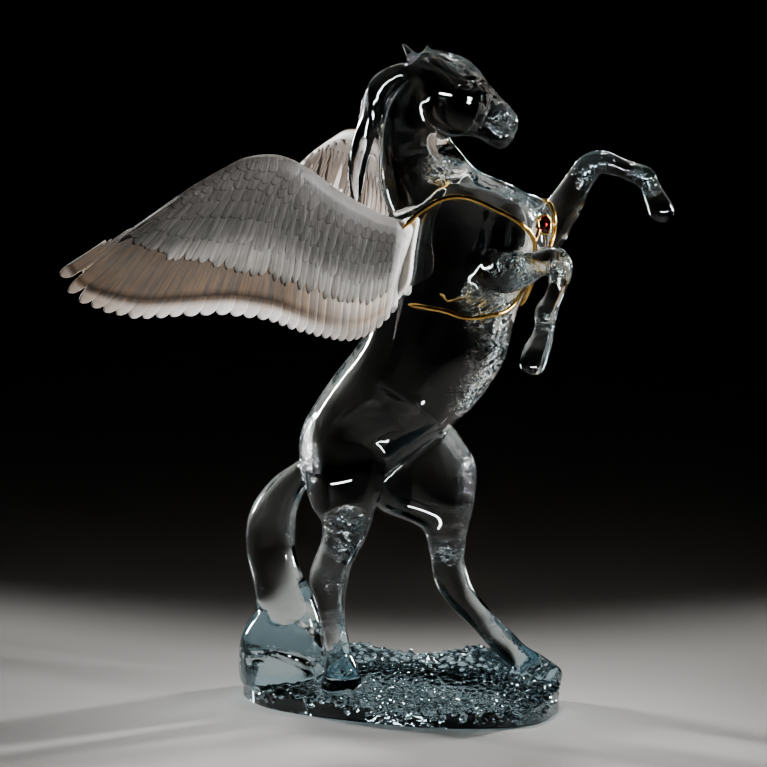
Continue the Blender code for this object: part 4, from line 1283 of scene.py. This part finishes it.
def flangePlate(side, horseTree):
    # The plate, laid on the horse's skin.
    closed = flange["outline"] + flange["outline"][:1]
    outline = np.array(smoothRows(closed, 10)[:-1])
    middle = outline.mean(0)
    mesh = bmesh.new()
    outer = []
    for shrink, height in flange["profile"]:
        outer.append([])
        for k, corner in enumerate(outline):
            ruffle = flange["ruffle"] * math.sin(k * 1.9) * (1 - height * 0.4)
            away = corner - middle
            spot = middle + away * shrink
            spot += ruffle * away / np.hypot(*away) * shrink
            off = height * flange["thickness"] + flange["backHeight"]
            outer[-1].append(flangePoint(side, spot, off, horseTree))
    inner = [[flangePoint(side, middle + (corner - middle) * shrink, flange["backHeight"], horseTree)
              for corner in outline] for shrink in (0.12, 0.35, 0.6, 0.8, 0.95)]
    addLoft(mesh, inner + outer)
    data = bpy.data.meshes.new("wing_flange")
    mesh.to_mesh(data)
    mesh.free()
    # The plate reads as the wing's root end at full reach, so it takes the painted glow there.
    addMarks(data, 1.0, 0.0, False, False)
    return data


def flangePoint(side, spot, off, horseTree):
    # Off the horse at a spot of the side view, half along its skin's normal and half straight out.
    start = placeDrawn(spot[0], side * 90, spot[1])
    hit, normal = horseTree.ray_cast(start, Vector((0, -side, 0)))[:2]
    return hit + (normal * 0.5 + Vector((0, side, 0)) * 0.5).normalized() * off * figure["scale"]


def joinMeshes(name, meshes, look):
    parts = [makeObject("part_of_" + name, mesh) for mesh in meshes]
    with bpy.context.temp_override(active_object=parts[0], object=parts[0],
                                   selected_editable_objects=parts, selected_objects=parts):
        bpy.ops.object.join()
    joined = parts[0]
    joined.name = name
    joined.data.name = name
    joined.data.materials.clear()
    joined.data.materials.append(look)
    return joined


def clearOf(mesh, tree, gap):
    # Points inside another piece, or nearer than the gap, are set back to the gap.
    points = meshPoints(mesh)
    for i in np.nonzero(points[:, 0] > figure["meetForward"])[0]:
        point = Vector(points[i])
        if tree.find_nearest(point, figure["meetWithin"])[0] is not None:
            points[i] = settle(point, tree, gap)
    setPoints(mesh, points)


def markGlued(mesh, tree, reach):
    # What lies on the horse is glued to it.
    points = meshPoints(mesh)
    glued = np.zeros(len(points), np.float32)
    for i in np.nonzero(points[:, 0] > figure["meetForward"])[0]:
        glued[i] = tree.find_nearest(Vector(points[i]), reach)[0] is not None
    mesh.attributes.new("glued", "FLOAT", "POINT").data.foreach_set("value", glued)


def facingOut(mesh):
    work = bmesh.new()
    work.from_mesh(mesh)
    bmesh.ops.recalc_face_normals(work, faces=work.faces)
    work.to_mesh(mesh)
    work.free()


def buildWing(side, look, feathers, tree, names, horseTree):
    label = "right" if side < 0 else "left"
    meshes = [wingCore(side)]
    for face in (1, -1):
        meshes += featherLayer(side, face, look, feathers, tree, names)
    piece = joinMeshes("frosted_wing_" + label, meshes + [flangePlate(side, horseTree)], look)
    facingOut(piece.data)
    clearOf(piece.data, horseTree, figure["gap"])
    markGlued(piece.data, horseTree, wing["gluedWithin"])
    keepInside(piece.data, cadBox)
    piece.data.shade_smooth()
    return piece


frosting = {
    # Colours along the reach: of the long feathers, of those near the root, and of the coverts, with
    # painted light in them: a painted shadow line at .86 and painted glow in the long feathers' white tips,
    # painted satin highlights in the bright bands from .6 to .74, and painted shade in the coverts' dark
    # upper rows.
    "flight": [(0.0, "#63605C"), (0.20, "#5A5753"), (0.50, "#6E6862"), (0.66, "#7F7871"),
               (0.82, "#82786F"), (0.862, "#4C453F"), (0.888, "#77706A"), (0.925, "#DED2CA"),
               (1.0, "#FFF9F5")],
    "root": [(0.0, "#75716E"), (0.20, "#6A6764"), (0.60, "#8E8A86"), (0.74, "#C6C0BA"),
             (0.85, "#938D88"), (0.93, "#BDB6B0"), (1.0, "#DDD5CF")],
    "covert": [(0.0, "#4C4946"), (0.20, "#423F3C"), (0.36, "#3B3936"), (0.48, "#4B4946"),
               (0.60, "#827F7B"), (0.68, "#7E7A75"), (0.73, "#57524E")],
    # Painted shade along the span, of the long feathers' vanes and of their tips: the vanes darker towards
    # the wing's tip, the tips darker towards both ends, where less light falls.
    "vanePaintedShade": [(0.15, "#FFFFFF"), (0.50, "#E0E1E1"), (0.90, "#C6C6C6")],
    "tipPaintedShade": [(0.16, "#B4B2B0"), (0.40, "#FFFFFF"), (0.68, "#FFFFFF"), (0.88, "#B0A59B")],
    # painted light: the inner face's brown, as if light shone through the wing
    "inner": "#8C7766",
    "warmStreak": "#EBC093",
    "coolStreak": "#707880",
    # painted sheen in streaks on the coverts, dark and bright
    "satin": ("#5E5A57", "#F2EEEA"),
    # painted glow at the wing's root end
    "rim": "#FFFAF4",
    # painted shade where the plate is glued
    "glued": "#0C0B0A",
    "cloudSize": 18.0,        # cloudy patches of the etch, in mm
    "gritSize": 1.2,          # its grit in mm, drawn coarse enough to show
    "barbs": (130.0, 3.0, 9.0),  # streaks over the span, along the reach, and from feather to feather
}


def frostedCrystal():
    # Cast crystal, etched to a satin: soft sheen, light glows in it, most in the thin tips. Its colours add
    # painted glow, painted highlights and painted shade to that.
    look, tree, shader = newMaterial("satin frosted crystal", {
        "IOR": 1.52,
        "Subsurface Weight": 0.35,
        "Subsurface Radius": (1.0, 0.86, 0.72),
        "Subsurface Scale": 0.006,
        "Specular IOR Level": 0.4,
    })
    marks = {name: addNode(tree, "ShaderNodeAttribute", {"attribute_name": name})
             for name in ("reach", "share", "covert", "inner", "tone", "glued")}
    reach = (marks["reach"], "Fac")
    # These ramps carry painted shade, painted highlights and painted glow along the reach.
    ramps = {name: colourRamp(tree, reach, frosting[name]) for name in ("flight", "root", "covert")}
    nearRoot = addNode(tree, "ShaderNodeMapRange", inputs={"From Min": 0.46, "From Max": 0.22},
                       links={"Value": (marks["share"], "Fac")})
    base = mixColours(tree, "MIX", (nearRoot, "Result"), (ramps["flight"], "Color"),
                      (ramps["root"], "Color"))
    base = mixColours(tree, "MIX", (marks["covert"], "Fac"), base, (ramps["covert"], "Color"))
    place = addNode(tree, "ShaderNodeTexCoord")
    cloud = addNode(tree, "ShaderNodeTexNoise",
                    inputs={"Scale": 1000 / frosting["cloudSize"], "Detail": 3.0},
                    links={"Vector": (place, "Object")})
    shade = addNode(tree, "ShaderNodeMapRange",
                    inputs={"From Min": 0.3, "From Max": 0.7, "To Min": 0.86, "To Max": 1.08},
                    links={"Value": (cloud, "Fac")})
    toned = addNode(tree, "ShaderNodeMapRange", inputs={"To Min": 0.84, "To Max": 1.08},
                    links={"Value": (marks["tone"], "Fac")})
    both = addNode(tree, "ShaderNodeMath", {"operation": "MULTIPLY"},
                   links={0: (shade, "Result"), 1: (toned, "Result")})
    # Streaks fan out from the leading edge to the tips, about 2 mm apart, and jump between feathers.
    fan = addNode(tree, "ShaderNodeCombineXYZ", links={"X": (marks["share"], "Fac"), "Y": reach,
                                                       "Z": (marks["tone"], "Fac")})
    barbs = addNode(tree, "ShaderNodeMapping", inputs={"Scale": frosting["barbs"]},
                    links={"Vector": (fan, "Vector")})
    streaks = addNode(tree, "ShaderNodeTexNoise", inputs={"Scale": 1.0, "Detail": 3.0, "Roughness": 0.6},
                      links={"Vector": (barbs, "Vector")})
    stroke = addNode(tree, "ShaderNodeMapRange", inputs={"From Min": 0.35, "From Max": 0.65},
                     links={"Value": (streaks, "Fac")})
    tint = mixColours(tree, "MIX", (stroke, "Result"), frosting["coolStreak"], frosting["warmStreak"])
    streaked = addNode(tree, "ShaderNodeMapRange", inputs={"From Min": 0.93, "From Max": 0.88,
                                                           "To Min": 0.10, "To Max": 0.75},
                       links={"Value": reach})
    onVanes = addNode(tree, "ShaderNodeMapRange", inputs={"From Min": 0.25, "From Max": 0.5},
                      links={"Value": reach})
    vanesOnly = addNode(tree, "ShaderNodeMath", {"operation": "MULTIPLY"},
                        links={0: (streaked, "Result"), 1: (onVanes, "Result")})
    flightOnly = addNode(tree, "ShaderNodeMath", {"operation": "SUBTRACT", "use_clamp": True},
                         links={0: (vanesOnly, 0), 1: (marks["covert"], "Fac")})
    base = mixColours(tree, "SOFT_LIGHT", (flightOnly, 0), base, tint)
    # The coverts have no colour of their own: their streaks are painted sheen, bright and dark.
    satin = mixColours(tree, "MIX", (stroke, "Result"), *frosting["satin"])
    paintedSheenShare = addNode(tree, "ShaderNodeMath", {"operation": "MULTIPLY"}, {1: 0.55},
                     {0: (marks["covert"], "Fac")})
    base = mixColours(tree, "SOFT_LIGHT", (paintedSheenShare, 0), base, satin)
    # Painted shade on the long feathers, darker out along the span.
    shaded = addNode(tree, "ShaderNodeMapRange", inputs={"From Min": 0.94, "From Max": 0.88},
                     links={"Value": reach})
    along = {name: colourRamp(tree, (marks["share"], "Fac"), frosting[name])
             for name in ("vanePaintedShade", "tipPaintedShade")}
    paintedSpanShade = mixColours(tree, "MIX", (shaded, "Result"), (along["tipPaintedShade"], "Color"),
                           (along["vanePaintedShade"], "Color"))
    onFlights = addNode(tree, "ShaderNodeMath", {"operation": "SUBTRACT"}, {0: 1.0},
                        {1: (marks["covert"], "Fac")})
    base = mixColours(tree, "MULTIPLY", (onFlights, 0), base, paintedSpanShade)
    # Painted light: the inner face's vanes turn brown, as if light shone through the wing from its other
    # side.
    innerOnly = addNode(tree, "ShaderNodeMath", {"operation": "MULTIPLY"},
                        links={0: (shaded, "Result"), 1: (marks["inner"], "Fac")})
    throughLightPart = addNode(tree, "ShaderNodeMath", {"operation": "MULTIPLY"}, {1: 0.65}, {0: (innerOnly, 0)})
    base = mixColours(tree, "MIX", (throughLightPart, 0), base, frosting["inner"])
    # Painted glow: the wing's root end and its plate turn near white, as if lit from behind.
    rim = addNode(tree, "ShaderNodeMapRange", inputs={"From Min": 0.055, "From Max": 0.0},
                  links={"Value": (marks["share"], "Fac")})
    base = mixColours(tree, "MIX", (rim, "Result"), base, frosting["rim"])
    # Where the plate is glued to the clear crystal the etch is filled, and its near-black colour there is
    # painted shade.
    base = mixColours(tree, "MIX", (marks["glued"], "Fac"), base, frosting["glued"])
    colour = addNode(tree, "ShaderNodeVectorMath", {"operation": "SCALE"},
                     links={0: base, "Scale": (both, 0)})
    tree.links.new(colour.outputs["Vector"], shader.inputs["Base Color"])
    rough = addNode(tree, "ShaderNodeMapRange", inputs={"To Min": 0.32, "To Max": 0.52},
                    links={"Value": (cloud, "Fac")})
    tree.links.new(rough.outputs["Result"], shader.inputs["Roughness"])
    grit = addNode(tree, "ShaderNodeTexNoise", inputs={"Scale": 1000 / frosting["gritSize"], "Detail": 1.0},
                   links={"Vector": (place, "Object")})
    ribbed = addNode(tree, "ShaderNodeBump", inputs={"Strength": 0.35, "Distance": 0.0005},
                     links={"Height": (streaks, "Fac")})
    gritty = addNode(tree, "ShaderNodeBump", inputs={"Strength": 0.10, "Distance": 0.0002},
                     links={"Height": (grit, "Fac"), "Normal": (ribbed, "Normal")})
    tree.links.new(gritty.outputs["Normal"], shader.inputs["Normal"])
    return look


# The metalwork: a gold wire on each side from the wing's plate over the shoulder, down the chest
# and back round the girth, and a brooch with a cut red stone. The route is x, y outwards, z and
# how far it stands off the horse, all in drawn millimetres. Other sizes are in metres.

strap = {
    "diameter": 0.0034,
    "route": [
        (17, 47, 354, 9), (22, 45, 359, 7), (28, 42, 365, 4), (36, 38, 371, 0), (47, 36, 376, 0),
        (58, 34, 377, 0), (69, 33, 374.5, 0), (80, 31, 369, 0), (90, 27, 361, 0), (98, 23, 351, 0),
        (102, 18, 341, 0), (103, 13, 330, 0), (101, 10, 318, 0), (96, 10, 306, 0), (86, 15, 298, 0),
        (75, 24, 294, 0), (60, 33, 293, 0), (44, 38, 297, 0), (31, 41, 299.5, 0), (22, 42, 300, 0),
    ],
    "sides": 20,
    "smoothRounds": 8,
    # Its two ends: the share of the length that each takes, and its girth there, as a share.
    "spearTip": (0.05, 0.30),
    "plainEnd": (0.03, 0.45),
    "inside": 0.98,           # the finished wire's girth over the model's
}

brooch = {
    "place": (107, -7.5, 356),  # in drawn millimetres
    "facing": (0.88, -0.45, 0.14),
    "corners": 8,
    "gemWidth": 0.0114,
    "gemHeight": 0.0126,
    "crown": 0.0026,
    "seat": 0.0022,
    "wall": 0.0013,
    "floor": 0.0012,
    "linkDiameter": 0.0028,
    "linkInside": 0.96,       # the finished link's girth over the model's
    "linkSteps": 12,
    "standoff": 0.0018,
    "softEdge": 0.0003,
}


def strapRoute(side, horseTree):
    # The route, laid on the horse's skin and smoothed.
    rows = smoothRows(strap["route"], 8)
    lifts = [row[3] * figure["scale"] + strap["diameter"] / 2 + 2 * figure["gap"] for row in rows]
    fine = [settle(placeDrawn(row[0], row[1] * side, row[2]), horseTree, lift, True)
            for row, lift in zip(rows, lifts)]
    for turn in range(strap["smoothRounds"]):
        middles = [(a + b * 2 + c) / 4 for a, b, c in zip(fine, fine[1:], fine[2:])]
        fine = [fine[0]] + middles + [fine[-1]]
        fine = [settle(point, horseTree, lift) for point, lift in zip(fine, lifts)]
    return fine


def wireTree():
    # A round wire along a line of edges, as thick at each point as its radius says.
    tree, enter, names = makeTree("wire along a route", [("Sides", "Int"), ("Material", "Material")])
    radius = addNode(tree, "GeometryNodeInputNamedAttribute", {"data_type": "FLOAT"}, {"Name": "wire"})
    line = addNode(tree, "GeometryNodeMeshToCurve", links={"Mesh": (enter, "Geometry")})
    section = addNode(tree, "GeometryNodeCurvePrimitiveCircle", inputs={"Radius": 1.0},
                      links={"Resolution": (enter, "Sides")})
    wire = addNode(tree, "GeometryNodeCurveToMesh", inputs={"Fill Caps": True},
                   links={"Curve": (line, "Curve"), "Profile Curve": (section, "Curve"),
                          "Scale": (radius, "Attribute")})
    closeTree(tree, enter, wire, "Mesh")
    return tree, names


def wireMesh(points, radii, look, tree, names):
    data = bpy.data.meshes.new("wire_route")
    data.from_pydata([tuple(p) for p in points], [(i, i + 1) for i in range(len(points) - 1)], [])
    layer = data.attributes.new("wire", "FLOAT", "POINT")
    layer.data.foreach_set("value", np.array(radii, np.float32))
    route = makeObject("wire_route", data)
    return runTree(route, tree, names, {"Sides": strap["sides"], "Material": look})


def buildStrap(side, look, tree, names, route, wingTree):
    shares = np.linspace(0, 1, len(route))
    length, girth = strap["spearTip"]
    radii = girth + (1 - girth) * smoothStep(0.0, length, shares)
    length, girth = strap["plainEnd"]
    radii *= girth + (1 - girth) * smoothStep(1.0, 1.0 - length, shares)
    radii *= strap["inside"] * strap["diameter"] / 2
    label = "right" if side < 0 else "left"
    piece = makeObject("gold_strap_" + label, wireMesh(route, radii, look, tree, names))
    clearOf(piece.data, wingTree, figure["gap"])
    return piece


def broochFrame(horseTree):
    # The brooch's own axes, with Z facing out of the horse's chest.
    facing = Vector(brooch["facing"]).normalized()
    up = (Vector((0, 0, 1)) - facing * facing.z).normalized()
    across = up.cross(facing)
    turn = Matrix((across, up, facing)).transposed().to_4x4()
    seat = settle(placeDrawn(*brooch["place"]), horseTree, brooch["standoff"], True)
    return Matrix.Translation(seat) @ turn


def cutRing(frame, width, height, level, offset=0.5):
    # The corners of the cut at one level of the brooch.
    corners = brooch["corners"]
    angles = [2 * math.pi * (k + offset) / corners for k in range(corners)]
    return [frame @ Vector((math.cos(a) * width / 2, math.sin(a) * height / 2, level)) for a in angles]


def buildGem(look, frame):
    # Table, stars and kites over the girdle, and a stepped back in the seat: the hull of its corners.
    bottom = brooch["floor"] + figure["gap"]
    girdle = bottom + brooch["seat"]
    top = girdle + brooch["crown"]
    # Each level's width as a share, its height, and how far its corners are turned.
    levels = [
        (0.50, bottom, 0.5), (0.78, bottom + brooch["seat"] * 0.45, 0.0),
        (0.995, girdle - 0.0002, 0.5), (0.995, girdle + 0.0003, 0.5),
        (0.80, girdle + brooch["crown"] * 0.62, 0.0), (0.58, top, 0.5),
    ]
    mesh = bmesh.new()
    for share, level, offset in levels:
        width, height = brooch["gemWidth"] * share, brooch["gemHeight"] * share
        for point in cutRing(frame, width, height, level, offset):
            mesh.verts.new(point)
    bmesh.ops.convex_hull(mesh, input=mesh.verts)
    bmesh.ops.delete(mesh, geom=[v for v in mesh.verts if not v.link_faces], context="VERTS")
    bmesh.ops.dissolve_limit(mesh, angle_limit=0.01, verts=mesh.verts, edges=mesh.edges)
    piece = makeObject("brooch_stone", mesh, smooth=False)
    piece.data.materials.append(look)
    return piece


def settingSizes():
    # The setting's width and height over its corners, inside and outside.
    flat = math.cos(math.pi / brooch["corners"])
    inner = [brooch[key] + 2 * figure["gap"] / flat for key in ("gemWidth", "gemHeight")]
    outer = [size + 2 * brooch["wall"] / flat for size in inner]
    return inner, outer


def buildSetting(look, frame, horseTree, routes, tree, names):
    inner, outer = settingSizes()
    lip = brooch["floor"] + figure["gap"] + brooch["seat"] + 0.0006
    profile = [
        (outer, 0.86, 0.0), (outer, 0.985, lip * 0.45), (outer, 0.96, lip), (inner, 1.0, lip),
        (inner, 1.0, brooch["floor"]),
    ]
    mesh = bmesh.new()
    addLoft(mesh, [cutRing(frame, width * share, height * share, level)
                   for (width, height), share, level in profile])
    cup = makeObject("brooch_cup", mesh)
    bevel = cup.modifiers.new("Soft edges", "BEVEL")
    bevel.width = brooch["softEdge"]
    bevel.segments = 3
    bevel.limit_method = "ANGLE"
    meshes = [evaluatedMesh(cup)]
    removeObject(cup)
    for route in routes:
        meshes.append(linkMesh(route, look, frame, horseTree, outer[0], tree, names))
    return joinMeshes("brooch_setting_gold", meshes, look)


def linkMesh(route, look, frame, horseTree, width, tree, names):
    # A short wire from the cup's wall to the nearest point of a strap.
    target = min(route, key=lambda point: (point - frame.translation).length)
    across = frame.inverted() @ target
    reach = width / 2 * math.cos(math.pi / brooch["corners"]) - brooch["wall"] * 0.4
    first = frame @ Vector((math.copysign(reach, across.x), 0,
                            brooch["floor"] + brooch["linkDiameter"] / 2))
    last = target - (target - first).normalized() * (strap["diameter"] / 2 + figure["gap"])
    steps = brooch["linkSteps"]
    points = [first.lerp(last, t / steps) for t in range(steps + 1)]
    off = brooch["linkDiameter"] / 2 + 2 * figure["gap"]
    outside = steps // 4
    points[outside:] = [settle(point, horseTree, off) for point in points[outside:]]
    radius = brooch["linkInside"] * brooch["linkDiameter"] / 2
    return wireMesh(points, [radius] * len(points), look, tree, names)


def polishedGold():
    # Gold plate on drawn brass wire, hand polished: warm, bright, with faint drawing marks.
    look, tree, shader = newMaterial("polished gold plate", {
        "Metallic": 1.0,
        "Specular Tint": fromHex("#FFF1D2"),
    })
    place = addNode(tree, "ShaderNodeTexCoord")
    # Polishing clouds about 6 mm across, and drawing marks 0.5 mm wide.
    cloud = addNode(tree, "ShaderNodeTexNoise", inputs={"Scale": 1000 / 6, "Detail": 3.0},
                    links={"Vector": (place, "Object")})
    ramp = colourRamp(tree, (cloud, "Fac"), [(0.3, "#E9AE4F"), (0.7, "#FFD27A")])
    tree.links.new(ramp.outputs["Color"], shader.inputs["Base Color"])
    rough = addNode(tree, "ShaderNodeMapRange", inputs={"To Min": 0.06, "To Max": 0.22},
                    links={"Value": (cloud, "Fac")})
    tree.links.new(rough.outputs["Result"], shader.inputs["Roughness"])
    marks = addNode(tree, "ShaderNodeTexNoise", inputs={"Scale": 1000 / 0.5, "Detail": 1.0},
                    links={"Vector": (place, "Object")})
    bump = addNode(tree, "ShaderNodeBump", inputs={"Strength": 0.08, "Distance": 0.0001},
                   links={"Height": (marks, "Fac")})
    tree.links.new(bump.outputs["Normal"], shader.inputs["Normal"])
    return look


def redStone():
    # A cut red stone, like garnet or synthetic ruby: deep, clear, with cloudier veins.
    look, tree, shader = newMaterial("cut red stone", {
        "Transmission Weight": 1.0,
        "IOR": 1.76,
        "Roughness": 0.01,
    })
    place = addNode(tree, "ShaderNodeTexCoord")
    # Colour zones about 3 mm across.
    zones = addNode(tree, "ShaderNodeTexNoise", inputs={"Scale": 1000 / 3, "Detail": 2.0},
                    links={"Vector": (place, "Object")})
    ramp = colourRamp(tree, (zones, "Fac"), [(0.3, "#7A0312"), (0.7, "#D0182C")])
    tree.links.new(ramp.outputs["Color"], shader.inputs["Base Color"])
    return look


buildStage()
buildCamera()
crystal = clearCrystal()
horsePiece = buildHorse(crystal)
finishPiece(horsePiece, "crystal_horse")
horseTree = meshTree(horsePiece.data)

frosted = frostedCrystal()
feathers = {name: featherMesh(name) for name in featherShapes}
rowTree, rowNames = featherTree()
gold = polishedGold()
wireNodes, wireNames = wireTree()
routes = []
for side, label in ((-1, "right"), (1, "left")):
    wingPiece = buildWing(side, frosted, feathers, rowTree, rowNames, horseTree)
    finishPiece(wingPiece, "wing_" + label)
    routes.append(strapRoute(side, horseTree))
    strapPiece = buildStrap(side, gold, wireNodes, wireNames, routes[-1], meshTree(wingPiece.data))
    finishPiece(strapPiece, "strap_" + label)
for feather in feathers.values():
    removeObject(feather)

seat = broochFrame(horseTree)
finishPiece(buildSetting(gold, seat, horseTree, routes, wireNodes, wireNames),
            "brooch_setting")
finishPiece(buildGem(redStone(), seat), "brooch_gem")
